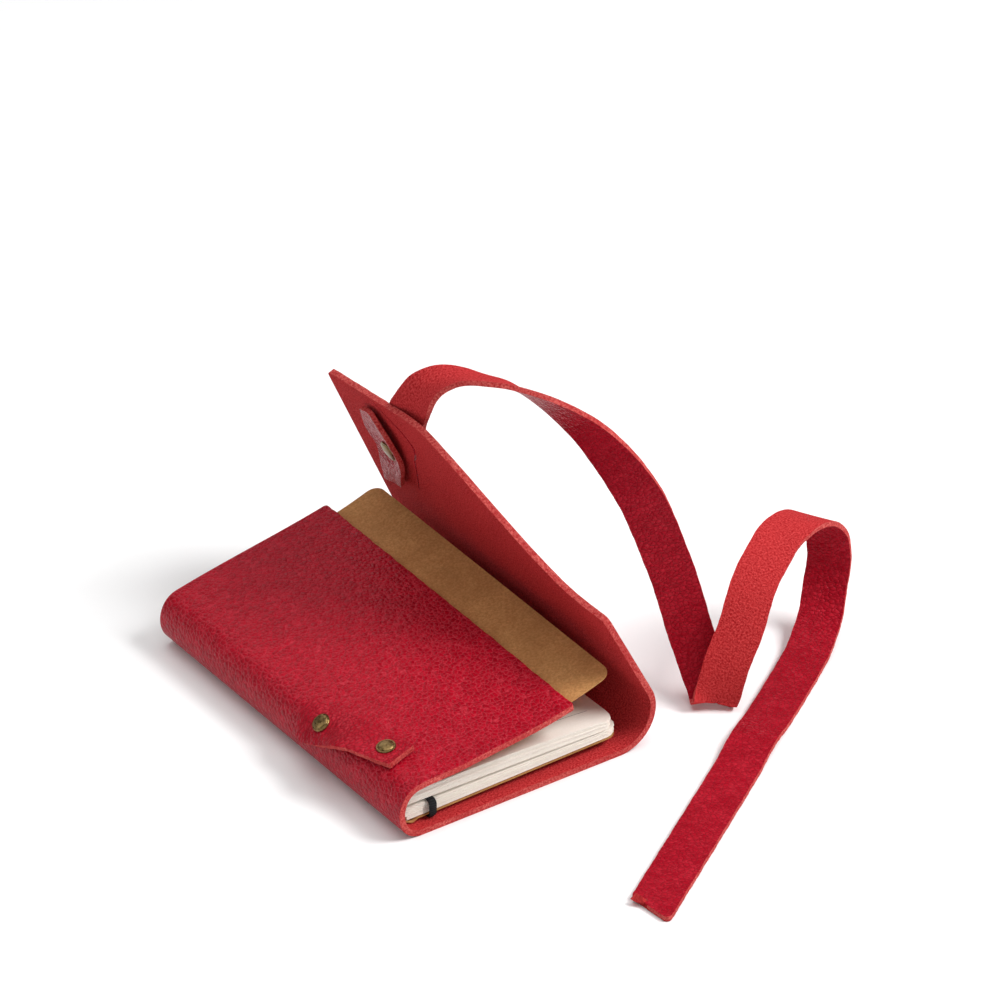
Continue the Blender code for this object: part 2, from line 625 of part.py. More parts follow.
def elastic_loop(look):
    """A flat band through the middle spread and round under the back cover."""
    x = SPINE.x + ELASTIC_FROM_SPINE
    low = LEATHER + GAP
    high = LOWER_TOP[0] + GAP + ELASTIC_THICKNESS
    reach = PAGE_LENGTH / 2 + 2 * GAP
    outer = rounded_box(PAGE_SHIFT - reach - ELASTIC_THICKNESS, PAGE_SHIFT + reach + ELASTIC_THICKNESS,
                        low, high, (0.0012,) * 4)
    inner = rounded_box(PAGE_SHIFT - reach, PAGE_SHIFT + reach, low + ELASTIC_THICKNESS,
                        high - ELASTIC_THICKNESS, (0.0005,) * 4)
    bm = bmesh.new()
    half = ELASTIC_WIDTH / 2
    corners = [[bm.verts.new((x + side * half, y, z)) for y, z in ring]
               for ring in (outer, inner) for side in (-1, 1)]
    outer_near, outer_far, inner_near, inner_far = corners
    for first, second in ((outer_near, outer_far), (outer_far, inner_far),
                          (inner_far, inner_near), (inner_near, outer_near)):
        for i in range(len(first)):
            j = (i + 1) % len(first)
            bm.faces.new((first[i], first[j], second[j], second[i]))
    add_object("elastic_loop", close_mesh("elastic_loop", bm), look)


def staple(name, y, look):
    """The crown of a staple, along the outside of the booklet's fold."""
    radius = SPINE_RADIUS - LEATHER - STAPLE_CLEAR - STAPLE_WIRE / 2
    angle = radians(183)
    bm = bmesh.new()
    bmesh.ops.create_cone(bm, cap_ends=True, segments=12, radius1=STAPLE_WIRE / 2, radius2=STAPLE_WIRE / 2,
                          depth=STAPLE_LENGTH, matrix=Matrix.Rotation(pi / 2, 4, "X"))
    place = SPINE + radius * Vector((cos(angle), 0, sin(angle))) + Vector((0, y, 0))
    bmesh.ops.translate(bm, verts=bm.verts, vec=place)
    add_object(name, close_mesh(name, bm), look)


def build():
    for old in list(bpy.data.objects):
        bpy.data.objects.remove(old)
    leather = material("red_leather", (0.30, 0.012, 0.018), 0.35)
    paper = material("page_paper", (0.78, 0.75, 0.67), 0.8)
    kraft = material("kraft_paper", (0.42, 0.22, 0.09), 0.8)
    brass = material("antique_brass", (0.45, 0.30, 0.14), 0.3, 1.0)
    elastic = material("black_elastic", (0.015, 0.015, 0.016), 0.8)
    steel = material("staple_wire", (0.6, 0.6, 0.6), 0.3, 1.0)

    opening_axis = joint_axis("cover_opening_axis", SPINE)
    press_axis = joint_axis("front_press_axis", PRESS_AXIS, opening_axis)
    leaf_axes = [joint_axis(f"leaf_axis_{i + 1}", LEAF_AXIS) for i in range(LEAF_SECTIONS)]
    kraft_axis = joint_axis("kraft_press_axis", PRESS_AXIS, leaf_axes[-1])
    flap_axis = joint_axis("flap_axis", FOLD)

    cover_back(leather)
    spine_part = cover_spine(leather)
    cover_fore_edge(leather)
    shoulder = front_sheet("cover_shoulder", GAP, SHOULDER_LENGTH, (0, 0, 0, 0), leather, opening_axis)
    front_start = SHOULDER_LENGTH + PRESS_GAP
    front_sheet("cover_front", front_start, front_start + FRONT_LENGTH,
                (0, CORNER_RADIUS, CORNER_RADIUS, 0), leather, press_axis)
    flap = cover_flap(leather, flap_axis)
    strap(leather)
    tab = strap_tab(leather, flap_axis)
    strap_rivet(brass, tab, flap, flap_axis)
    keeper_part = keeper(leather)
    keeper_rivets(brass, keeper_part, [spine_part, shoulder])
    kraft_back(kraft)
    kraft_front(kraft, kraft_axis)
    lower_leaves(paper)
    upper_leaves(paper, leaf_axes)
    elastic_loop(elastic)
    staple("staple_head", PAGE_SHIFT + STAPLE_SPREAD / 2, steel)
    staple("staple_tail", PAGE_SHIFT - STAPLE_SPREAD / 2, steel)


build()
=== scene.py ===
"""Pocket notebook: the looks. A pebbled red leather wrap cover with a tie strap, round a kraft booklet."""
import json
import random
from math import atan2, cos, pi, radians, sin, sqrt

import bmesh
import bpy
import numpy as np
from mathutils import Matrix, Vector

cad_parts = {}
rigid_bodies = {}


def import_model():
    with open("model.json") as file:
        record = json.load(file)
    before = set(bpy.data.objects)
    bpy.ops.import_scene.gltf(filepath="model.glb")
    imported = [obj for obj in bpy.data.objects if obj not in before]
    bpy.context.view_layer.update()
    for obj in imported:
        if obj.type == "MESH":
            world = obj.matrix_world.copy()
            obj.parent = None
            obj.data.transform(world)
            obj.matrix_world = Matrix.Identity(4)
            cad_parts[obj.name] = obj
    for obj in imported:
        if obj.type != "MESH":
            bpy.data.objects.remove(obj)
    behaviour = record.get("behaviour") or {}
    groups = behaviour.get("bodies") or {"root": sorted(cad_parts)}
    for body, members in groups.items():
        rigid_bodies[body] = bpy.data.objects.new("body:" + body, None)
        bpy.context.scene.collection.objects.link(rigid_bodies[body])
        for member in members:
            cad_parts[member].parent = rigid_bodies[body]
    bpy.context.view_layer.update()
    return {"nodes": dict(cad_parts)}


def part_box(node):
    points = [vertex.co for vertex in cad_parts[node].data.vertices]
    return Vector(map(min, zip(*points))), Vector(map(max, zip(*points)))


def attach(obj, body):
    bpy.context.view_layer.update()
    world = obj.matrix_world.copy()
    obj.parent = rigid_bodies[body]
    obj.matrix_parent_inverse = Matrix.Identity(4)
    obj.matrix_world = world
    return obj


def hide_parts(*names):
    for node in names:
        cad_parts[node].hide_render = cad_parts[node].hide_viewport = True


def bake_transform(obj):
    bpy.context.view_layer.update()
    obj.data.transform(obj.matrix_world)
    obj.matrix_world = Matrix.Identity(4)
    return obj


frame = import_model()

for part in bpy.data.objects:
    part.select_set(False)

# Sizes shared with the solid model, in metres
LEATHER = 0.0022
HALF = (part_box("cover_back")[1][1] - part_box("cover_back")[0][1]) / 2
SPINE_RADIUS = 0.009
FOLD_RADIUS = 0.0145
SPINE = Vector((-0.03985, 0, SPINE_RADIUS))
FOLD = Vector((0.03985, 0, FOLD_RADIUS))
FRONT_RISE = radians(11.5)
SHOULDER = 0.0065  # from the end of the spine's bend to where the front presses down
PANEL_GAP = 0.0005  # air between two of the solid model's panels
FRONT_END = 0.0633  # from the end of the spine's bend to the front's fore edge
FLAP_LEAN = radians(116)
FLAP_LOW = 0.0395  # height of the flap's cut edge at the tail
FLAP_TALL = 0.0845  # and at its tongue
STRAP_WIDTH = 0.0155
STRAP_THICKNESS = 0.0018
KEEPER_LENGTH = 0.046
KEEPER_WIDTH = 0.0125
KEEPER_THICKNESS = 0.0019
KEEPER_U = -0.0012  # its middle, as a distance past the end of the spine's bend
KEEPER_Y = -0.0367
KEEPER_TURN = radians(14)
RIVET_SPACING = 0.0282
RIVET_SHIFT = -0.0018  # the pair of rivets sits this much nearer the keeper's tail end
CAP_RADIUS = 0.0033
CAP_HEIGHT = 0.0012
SHANK_RADIUS = 0.0011
TAB_RIVET = (0.0435, 0.0522)  # Y and height above the fold

# What the soft leather adds
CUT_BEVEL = 0.0004  # worn corner of every cut leather edge
SPINE_LIFT = 0.0020  # the cover stands this much prouder over the booklet's fold
SPINE_LIFT_FROM = 0.002  # height where that begins
SPINE_LIFT_OVER = 0.016
TAIL_SAG = 0.0012  # the front sags this much along its tail edge
TAIL_SAG_FROM = 0.02  # distance from the middle where it begins
TAIL_SAG_OVER = 0.053
FRONT_SAG_OVER = 0.02  # its onset beside the spine
FRONT_SAG_END = 0.075
FRONT_SAG_FADE = 0.03
FRONT_TWIST = 0.0024  # its fore edge is this much higher at the head, lower at the tail
FRONT_CORNER = 0.0013
FLAP_TWIST = radians(2)  # the tail end leans in by this, the head end out
FLAP_CREST = 0.0015  # the climbing edge aims this much over the tongue
FLAP_CLIMB_FROM = -0.060  # Y where the flap's edge starts to climb
FLAP_CLIMB_OVER = 0.076
FLAP_FALL = 0.196  # slope of its edge past the tongue
FLAP_TONGUE_Y = 0.012
FLAP_TONGUE_ROUND = 0.004  # how softly climb and fall meet
FLAP_CORNER = 0.0025
FOLD_SHARE = 0.48  # share of the flap side's grid below the fold's end
JOIN_REACH = 0.0012  # edges this near a neighbouring panel stay sharp
MIDDLE_REACH = 0.0005  # and those this near the back's middle line
EDGE_ROUGHNESS = ((0.00010, 410, 0), (0.00008, 947, 1.3), (0.00005, 2310, 0.4))

# The slit in the flap, as Y and height above the fold, with its width at each of those points
SLIT = ((0.0400, 0.0770), (0.0330, 0.0733), (0.0270, 0.0705), (0.0235, 0.0655), (0.0255, 0.0595),
        (0.0300, 0.0530), (0.0345, 0.0440), (0.0410, 0.0320))
SLIT_WIDTHS = (0.0005, 0.0008, 0.0011, 0.0013, 0.0012, 0.0009, 0.0006, 0.0004)
SLIT_STEPS = 60
SLIT_CLEAR = 0.002  # the blade starts this far off the flap's inner face
SLIT_DEPTH = 0.0065

# The keeper and the rivets' caps
KEEPER_STIFFNESS = 0.7  # share of its lower half that stays flat and stands off the spine
KEEPER_CHORD = 0.003  # half the width from which the flat half takes its slope
KEEPER_OFF = 0.0002  # gap under the keeper at its rivets
KEEPER_RAISE = 0.0016  # how far it stands off between them
KEEPER_TILT = 0.35  # share by which its raised part leans to the spine
KEEPER_END_CURL = 0.0005
KEEPER_CORNERS = (0.0030, 0.0065, 0.0008)  # at the head, on either side, and at the tail
TAB_RIVET_RADIUS = 0.0042
RIM_ROLL = 0.0002
RIM_SIDE = 0.00045  # height where the rim's straight side ends
RIM_SHOULDER = (0.00012, 0.00062)  # distance in from the radius, and height
RIM_TOP = (0.0004, 0.00066)
CROWN_FOOT = (0.00055, 0.00064)
CROWN_RINGS = 8

# The strap and its tab
STRAP_LOWEST = 0.0001  # the strap's underside is never lower than this
STRAP_STEP = 0.0012
STRAP_CORNER = 0.0018
STRAP_SLANT = 0.0065  # the free end is cut on a slant
STRAP_SPARE = 0.0022  # its end lies this far past the route's last point
STRAP_END_RUN = 0.03  # length over which both come in
TAB_LEFT = ((0.0490, 0.0710), (0.0530, 0.0600), (0.0525, 0.0490), (0.0580, 0.0370), (0.0620, 0.0270))
TAB_RIGHT = ((0.0395, 0.0740), (0.0352, 0.0630), (0.0365, 0.0530), (0.0400, 0.0430), (0.0475, 0.0320))
TAB_OFF = 0.0003  # gap between the flap and the tab
TAB_PUCKER = 0.0008  # the tab stands off this much more round its rivet
TAB_PUCKER_OVER = 0.009
TAB_LIFT = 0.0011  # and this much at the slit

# The booklet, shared with the solid model
PAGE_LENGTH = 0.139
PAGE_SHIFT = 0.0005
PAGE_CORNER = 0.005
LOWER_FORE_EDGE = 0.0427
UPPER_SET_BACK = 0.0015
LOWER_BASE = (0.0043, 0.0059)  # heights at the spine and at the fore edge
LOWER_TOP = (0.00865, 0.0085)
UPPER_BASE = (0.01025, 0.0089)
UPPER_TOP = (0.0146, 0.0120)
UPPER_HUMP = 0.0010  # the top page bulges this much between those two
SECTION_GAP = 0.0001
SHEETS = 6  # sheets of paper modelled in each section
SHEET_FILL = 0.80  # share of a sheet's pitch that is paper, the rest is air
SHEET_UNEVEN = 0.00018  # how far a sheet's edges stray
KRAFT = 0.0004
KRAFT_CLEAR = 0.0005
KRAFT_START = 0.0006
KRAFT_FLAT = 0.047
KRAFT_CURL = radians(10)
KRAFT_CURL_LENGTH = 0.0280
KRAFT_CORNER = 0.0045
KRAFT_TANGENT = 0.004  # length that gives the curl its first slope
RULE_Y = PAGE_SHIFT - PAGE_LENGTH / 2 + 0.0087  # the ruled line's distance from the tail edge
RULE_WIDTH = 0.00022
RULE_MARGIN = 0.0071  # it stops this short of the lower leaves' fore edge
BAND_HALF_WIDTH = 0.00145
BAND_HALF_THICKNESS = 0.00038
BAND_SINK = 0.00035  # its middle lies this far inside the solid band
BAND_CORNER = 0.0016
BAND_BULGE = 0.0007  # it stands off the pages by this at head and tail
BAND_BULGE_OVER = 0.004
BAND_RIB = 0.00005
BAND_RIBS = 10
BAND_GIRTH = 0.007  # once round its section

# The studio
CAMERA_PLACE = (-0.72855, -1.0917, 0.8525)
CAMERA_DOWN = radians(30.587)
CAMERA_TURN = radians(35.24)
CAMERA_LENS = 165.6
LIGHT_TARGET = Vector((0.03, -0.02, 0.0))
LIGHTS = (("key_light", (0.85, -0.80, 1.25), 0.7, 26), ("top_light", (-0.05, 0.1, 1.7), 1.6, 14),
          ("back_light", (0.35, 1.5, 1.1), 0.9, 4), ("spine_light", (-1.2, 0.7, 0.9), 0.7, 3.5),
          ("front_light", (-0.7, -1.3, 0.9), 1.2, 5))
WORLD_STRENGTH = 0.09

FRONT_ALONG = Vector((cos(FRONT_RISE), 0, sin(FRONT_RISE)))
FRONT_OUT = Vector((-sin(FRONT_RISE), 0, cos(FRONT_RISE)))
FRONT_START = SPINE + SPINE_RADIUS * FRONT_OUT

# The strap's route: centre of the strap and the direction across it, in metres
STRAP_ROUTE = (
    ((0.0262, 0.0330, 0.0813), (0.35, -0.62, -0.71)),
    ((0.0231, 0.0270, 0.0875), (0.30, -0.70, -0.62)),
    ((0.0193, 0.0190, 0.0957), (0.12, -0.96, -0.25)),
    ((0.0202, 0.0140, 0.1040), (0.00, -0.99, -0.10)),
    ((0.0237, 0.0090, 0.1095), (-0.15, -0.98, 0.10)),
    ((0.0285, 0.0030, 0.1125), (-0.30, -0.92, 0.22)),
    ((0.0340, -0.0040, 0.1130), (-0.38, -0.86, 0.32)),
    ((0.0400, -0.0120, 0.1120), (-0.30, -0.88, 0.36)),
    ((0.0480, -0.0220, 0.1072), (-0.08, -0.88, 0.46)),
    ((0.0562, -0.0316, 0.0990), (0.20, -0.80, 0.56)),
    ((0.0630, -0.0386, 0.0880), (0.45, -0.66, 0.60)),
    ((0.0695, -0.0442, 0.0740), (0.65, -0.52, 0.55)),
    ((0.0755, -0.0469, 0.0569), (0.78, -0.46, 0.42)),
    ((0.0805, -0.0493, 0.0404), (0.82, -0.48, 0.30)),
    ((0.0835, -0.0526, 0.0249), (0.80, -0.56, 0.20)),
    ((0.0845, -0.0592, 0.0122), (0.77, -0.63, 0.08)),
    ((0.0842, -0.0644, 0.0056), (0.77, -0.64, 0.02)),
    ((0.0834, -0.0668, 0.0028), (0.77, -0.64, 0.00)),
    ((0.0826, -0.0688, 0.0031), (0.77, -0.64, 0.00)),
    ((0.0832, -0.0702, 0.0067), (0.76, -0.65, -0.04)),
    ((0.0863, -0.0702, 0.0165), (0.68, -0.71, -0.12)),
    ((0.0935, -0.0690, 0.0295), (0.62, -0.76, -0.18)),
    ((0.1005, -0.0656, 0.0405), (0.60, -0.77, -0.20)),
    ((0.1090, -0.0617, 0.0465), (0.60, -0.77, -0.20)),
    ((0.1185, -0.0571, 0.0500), (0.60, -0.78, -0.16)),
    ((0.1295, -0.0530, 0.0500), (0.58, -0.80, -0.12)),
    ((0.1400, -0.0490, 0.0455), (0.58, -0.80, -0.10)),
    ((0.1475, -0.0460, 0.0370), (0.58, -0.80, -0.10)),
    ((0.1490, -0.0470, 0.0270), (0.57, -0.81, -0.08)),
    ((0.1470, -0.0480, 0.0175), (0.57, -0.82, -0.06)),
    ((0.1410, -0.0530, 0.0080), (0.56, -0.83, -0.03)),
    ((0.1300, -0.0610, 0.0028), (0.55, -0.84, 0.00)),
    ((0.1180, -0.0690, 0.0014), (0.55, -0.84, 0.00)),
    ((0.0950, -0.0842, 0.0012), (0.55, -0.84, 0.00)),
    ((0.0790, -0.0946, 0.0026), (0.55, -0.84, 0.00)),
    ((0.0650, -0.1040, 0.0013), (0.55, -0.84, 0.00)),
    ((0.0350, -0.1238, 0.0011), (0.55, -0.84, 0.00)),
    ((-0.0035, -0.1492, 0.0011), (0.55, -0.84, 0.00)),
)


# Node groups used by several materials

def new_group(name, inputs, outputs):
    """A node group with named sockets, and its two end nodes."""
    group = bpy.data.node_groups.new(name, "ShaderNodeTree")
    for label, kind, value in inputs:
        socket = group.interface.new_socket(label, in_out="INPUT", socket_type=kind)
        if value is not None:
            socket.default_value = value
    for label, kind in outputs:
        group.interface.new_socket(label, in_out="OUTPUT", socket_type=kind)
    return group, group.nodes.new("NodeGroupInput"), group.nodes.new("NodeGroupOutput")


def wire(tree, node_type, settings=(), links=()):
    """Add a node, set its values and link sockets into it."""
    node = tree.nodes.new(node_type)
    for key, value in settings:
        if isinstance(key, str) and hasattr(node, key):
            setattr(node, key, value)
        else:
            node.inputs[key].default_value = value
    for key, socket in links:
        tree.links.new(socket, node.inputs[key])
    return node


def math_node(tree, operation, first, second=None):
    """A Math node on sockets or plain numbers."""
    node = tree.nodes.new("ShaderNodeMath")
    node.operation = operation
    for index, value in enumerate((first, second)):
        if value is None:
            continue
        if isinstance(value, (int, float)):
            node.inputs[index].default_value = value
        else:
            tree.links.new(value, node.inputs[index])
    return node.outputs[0]


def spread(tree, value, low, high, out_low, out_high):
    """Map low..high to out_low..out_high, and hold it there."""
    node = wire(tree, "ShaderNodeMapRange", ((1, low), (2, high), (3, out_low), (4, out_high)),
                ((0, value),))
    return node.outputs[0]


def mix_colours(tree, factor, first, second):
    """Mix two colours, each a socket or a plain value."""
    node = tree.nodes.new("ShaderNodeMix")
    node.data_type = "RGBA"
    for index, value in ((0, factor), (6, first), (7, second)):
        if isinstance(value, (int, float, tuple)):
            node.inputs[index].default_value = value
        else:
            tree.links.new(value, node.inputs[index])
    return node.outputs[2]


def pebble_group():
    """Pebbled grain: rounded cells parted by fine creases. Works on a position in metres."""
    group, inward, outward = new_group(
        "pebble_grain",
        (("Position", "NodeSocketVector", None), ("Cell", "NodeSocketFloat", 0.0015)),
        (("Height", "NodeSocketFloat"), ("Crease", "NodeSocketFloat"), ("Shade", "NodeSocketFloat")))
    scale = math_node(group, "DIVIDE", 1.0, inward.outputs["Cell"])
    warp = wire(group, "ShaderNodeTexNoise", (("Detail", 3.0),),
                (("Vector", inward.outputs["Position"]),
                 ("Scale", math_node(group, "MULTIPLY", scale, 0.45))))
    push = wire(group, "ShaderNodeVectorMath", (("operation", "MULTIPLY_ADD"), (1, (0.0016,) * 3)),
                ((0, warp.outputs["Color"]), (2, inward.outputs["Position"])))
    cells = wire(group, "ShaderNodeTexVoronoi", (("feature", "SMOOTH_F1"), ("Smoothness", 0.35)),
                 (("Vector", push.outputs[0]), ("Scale", scale)))
    edges = wire(group, "ShaderNodeTexVoronoi", (("feature", "DISTANCE_TO_EDGE"),),
                 (("Vector", push.outputs[0]), ("Scale", scale)))
    fine = wire(group, "ShaderNodeTexNoise", (("Detail", 4.0),),
                (("Vector", inward.outputs["Position"]),
                 ("Scale", math_node(group, "MULTIPLY", scale, 3.0))))
    dome = spread(group, cells.outputs["Distance"], 0.0, 0.75, 1.0, 0.0)
    groove = spread(group, edges.outputs["Distance"], 0.0, 0.16, 0.0, 0.45)
    height = math_node(group, "ADD", math_node(group, "ADD", dome, groove),
                       math_node(group, "MULTIPLY", fine.outputs[0], 0.35))
    crease = spread(group, edges.outputs["Distance"], 0.0, 0.13, 1.0, 0.0)
    separate = wire(group, "ShaderNodeSeparateColor", (), ((0, cells.outputs["Color"]),))
    group.links.new(height, outward.inputs["Height"])
    group.links.new(crease, outward.inputs["Crease"])
    group.links.new(separate.outputs[0], outward.inputs["Shade"])
    return group


def fibre_group():
    """Short fibres of a suede or paper surface: a fine speckled nap over soft mottling."""
    group, inward, outward = new_group(
        "nap_fibre",
        (("Position", "NodeSocketVector", None), ("Fibre", "NodeSocketFloat", 0.0003)),
        (("Nap", "NodeSocketFloat"), ("Mottle", "NodeSocketFloat")))
    scale = math_node(group, "DIVIDE", 1.0, inward.outputs["Fibre"])
    tufts = wire(group, "ShaderNodeTexNoise", (("Detail", 3.0), ("Roughness", 0.65)),
                 (("Vector", inward.outputs["Position"]), ("Scale", scale)))
    drift = wire(group, "ShaderNodeTexNoise", (("Detail", 4.0), ("Roughness", 0.6)),
                 (("Vector", inward.outputs["Position"]),
                  ("Scale", math_node(group, "MULTIPLY", scale, 0.07))))
    nap = spread(group, tufts.outputs[0], 0.36, 0.64, 0.0, 1.0)
    mottle = spread(group, drift.outputs[0], 0.35, 0.65, 0.0, 1.0)
    group.links.new(nap, outward.inputs["Nap"])
    group.links.new(mottle, outward.inputs["Mottle"])
    return group


PEBBLE = pebble_group()
FIBRE = fibre_group()


def start_material(name, roughness, metallic=0.0):
    """A new material, its tree and its shader."""
    made = bpy.data.materials.new(name)
    made.use_nodes = True
    tree = made.node_tree
    shader = tree.nodes["Principled BSDF"]
    shader.inputs["Roughness"].default_value = roughness
    shader.inputs["Metallic"].default_value = metallic
    return made, tree, shader


def fibre_node(tree, size, position=None):
    """The fibre group on a position, by default the piece's own coordinates."""
    if position is None:
        position = wire(tree, "ShaderNodeTexCoord").outputs["Object"]
    return wire(tree, "ShaderNodeGroup", (("node_tree", FIBRE), ("Fibre", size)), (("Position", position),))


def tint(tree, base, mask, share, colour):
    """Mix a colour into the base by a mask and a share."""
    return mix_colours(tree, math_node(tree, "MULTIPLY", mask, share), base, colour)


def colour_in(tree, shader, base, specular):
    """Base colour and strength of the highlight."""
    tree.links.new(base, shader.inputs["Base Color"])
    shader.inputs["Specular IOR Level"].default_value = specular


def bump(tree, shader, height, distance, strength=1.0):
    """Raise the shader's surface by a height."""
    node = wire(tree, "ShaderNodeBump", (("Strength", strength), ("Distance", distance)),
                (("Height", height),))
    tree.links.new(node.outputs[0], shader.inputs["Normal"])


def sheet_position(tree, stretch=(1.0, 1.0, 1.0)):
    """A piece's own flat coordinates, in metres, stretched along the sheet."""
    place = wire(tree, "ShaderNodeTexCoord")
    mapped = wire(tree, "ShaderNodeMapping", (("Scale", stretch),), (("Vector", place.outputs["UV"]),))
    return mapped.outputs[0]


def grain_leather(name, cell, stretch, tops, crease, painted_crease_share):
    """Glazed grain side: red pebbles of two shades, their creases painted in patches with a crease colour: a
    painted highlight where it is lighter than the pebbles, painted shade where it is darker.
    """
    made, tree, shader = start_material(name, 0.4)
    position = sheet_position(tree, stretch)
    pebble = wire(tree, "ShaderNodeGroup", (("node_tree", PEBBLE), ("Cell", cell)), (("Position", position),))
    patch = fibre_node(tree, 0.0006, position)
    base = mix_colours(tree, pebble.outputs["Shade"], *tops)
    base = tint(tree, base, patch.outputs["Mottle"], 0.4, (0.25, 0.0006, 0.0060, 1))
    # Painted light in the creases: the crease colour, laid on by the crease mask and faded in patches.
    painted_crease_mask = math_node(tree, "MULTIPLY", pebble.outputs["Crease"],
                       spread(tree, patch.outputs["Nap"], 0.2, 0.9, painted_crease_share / 4, painted_crease_share))
    colour_in(tree, shader, mix_colours(tree, painted_crease_mask, base, crease), 0.3)
    rough = math_node(tree, "ADD", 0.33, math_node(tree, "MULTIPLY", pebble.outputs["Crease"], 0.3))
    tree.links.new(rough, shader.inputs["Roughness"])
    shader.inputs["Specular Tint"].default_value = (1.0, 0.27, 0.35, 1)
    bump(tree, shader, pebble.outputs["Height"], 0.00024)
    return made


def suede(name):
    """Flesh side: brushed and matt, speckled light and dark."""
    made, tree, shader = start_material(name, 0.95)
    fibre = fibre_node(tree, 0.0007, sheet_position(tree))
    base = mix_colours(tree, fibre.outputs["Nap"], (0.32, 0.006, 0.009, 1), (0.66, 0.060, 0.062, 1))
    base = tint(tree, base, fibre.outputs["Mottle"], 0.35, (0.58, 0.040, 0.042, 1))
    colour_in(tree, shader, base, 0.06)
    bump(tree, shader, fibre.outputs["Nap"], 0.00025, 0.8)
    return made


def cut_edge(name, dark, light):
    """Cut edge of the hide: raw fibres, uneven along the cut."""
    made, tree, shader = start_material(name, 0.9)
    fibre = fibre_node(tree, 0.0008)
    base = mix_colours(tree, fibre.outputs["Nap"], dark, light)
    colour_in(tree, shader, tint(tree, base, fibre.outputs["Mottle"], 0.5, dark), 0.1)
    bump(tree, shader, fibre.outputs["Nap"], 0.0003, 0.8)
    return made


def paper(name, light, dark, fibre_size, roughness, depth, ruled=False):
    """Uncoated paper with a faint tooth; the top page carries one ruled line near its tail edge."""
    made, tree, shader = start_material(name, roughness)
    fibre = fibre_node(tree, fibre_size)
    base = tint(tree, light, fibre.outputs["Nap"], 0.6, dark)
    base = tint(tree, base, fibre.outputs["Mottle"], 0.4, dark)
    if ruled:
        place = wire(tree, "ShaderNodeTexCoord")
        axes = wire(tree, "ShaderNodeSeparateXYZ", (), ((0, place.outputs["Object"]),))
        off = math_node(tree, "ABSOLUTE", math_node(tree, "SUBTRACT", axes.outputs[1], RULE_Y))
        line = math_node(tree, "LESS_THAN", off, RULE_WIDTH / 2)
        inside = math_node(tree, "LESS_THAN", axes.outputs[0], LOWER_FORE_EDGE - RULE_MARGIN)
        base = tint(tree, base, math_node(tree, "MULTIPLY", line, inside), 0.75, (0.09, 0.08, 0.08, 1))
    colour_in(tree, shader, base, 0.15)
    bump(tree, shader, fibre.outputs["Nap"], depth, 0.6)
    return made


def antique_brass(name):
    """Brass gone olive-brown, brighter where it is rubbed."""
    made, tree, shader = start_material(name, 0.34, 1.0)
    fibre = fibre_node(tree, 0.0009)
    base = mix_colours(tree, fibre.outputs["Nap"], (0.13, 0.080, 0.026, 1), (0.30, 0.20, 0.085, 1))
    tree.links.new(base, shader.inputs["Base Color"])
    rough = spread(tree, fibre.outputs["Nap"], 0.0, 1.0, 0.26, 0.46)
    tree.links.new(rough, shader.inputs["Roughness"])
    bump(tree, shader, fibre.outputs["Nap"], 0.00002, 0.6)
    return made


def woven_elastic(name):
    """Black elastic: fine ribs along the band, crossed by its weft."""
    made, tree, shader = start_material(name, 0.75)
    position = sheet_position(tree)
    weft = wire(tree, "ShaderNodeTexWave",
                (("bands_direction", "Y"), ("Scale", 420.0), ("Distortion", 0.6)),
                (("Vector", position),))
    base = mix_colours(tree, weft.outputs["Fac"], (0.0025, 0.0025, 0.003, 1), (0.016, 0.016, 0.018, 1))
    colour_in(tree, shader, base, 0.2)
    bump(tree, shader, weft.outputs["Fac"], 0.0001, 0.8)
    return made


def steel_wire(name):
    """Bright galvanised wire, faintly drawn along its length."""
    made, tree, shader = start_material(name, 0.3, 1.0)
    fibre = fibre_node(tree, 0.0004)
    base = mix_colours(tree, fibre.outputs["Nap"], (0.42, 0.43, 0.45, 1), (0.68, 0.69, 0.70, 1))
    tree.links.new(base, shader.inputs["Base Color"])
    return made


# The materials

# Cover leather: its lighter crease colour is a painted highlight along the pebbles' edges.
GRAIN = grain_leather(
    "grain_leather", 0.00145, (1.0, 0.8, 1.0),
    ((0.29, 0.0007, 0.0090, 1), (0.42, 0.0018, 0.0150, 1)), (0.62, 0.060, 0.085, 1), 0.7)
# Strap and keeper leather: its darker crease colour is painted shade in the creases.
STRAP_GRAIN = grain_leather(
    "strap_grain_leather", 0.0013, (0.8, 1.0, 1.0),
    ((0.34, 0.0025, 0.0130, 1), (0.46, 0.0120, 0.0270, 1)), (0.17, 0.0005, 0.0045, 1), 0.85)
SUEDE = suede("suede")
CUT_EDGE = cut_edge("cut_leather_edge", (0.42, 0.022, 0.026, 1), (0.72, 0.145, 0.125, 1))
# Near-black edge colour for the slit's walls: painted shade inside the slit.
SLIT_PAINTED_SHADE = cut_edge("slit_painted_shade", (0.030, 0.0015, 0.0020, 1), (0.090, 0.0080, 0.0090, 1))
PAGE = paper(
    "page_paper", (0.93, 0.88, 0.81, 1), (0.82, 0.76, 0.67, 1), 0.0006, 0.85, 0.00004)
TOP_PAGE = paper(
    "ruled_page_paper", (0.93, 0.88, 0.81, 1), (0.86, 0.80, 0.72, 1), 0.0006, 0.85, 0.00003, True)
KRAFT_PAPER = paper(
    "kraft_paper", (0.58, 0.30, 0.110, 1), (0.30, 0.130, 0.042, 1), 0.0009, 0.7, 0.00008)
BRASS = antique_brass("antique_brass")
ELASTIC = woven_elastic("black_elastic")
STEEL = steel_wire("staple_wire")


# The leather cover

def smooth(t):
    """Ease from 0 to 1."""
    t = min(max(t, 0.0), 1.0)
    return t * t * (3 - 2 * t)


def dense_ends(t):
    """Even steps made closer near 0 and 1, so that rounded corners have enough points."""
    return 0.5 - 0.5 * cos(pi * t)


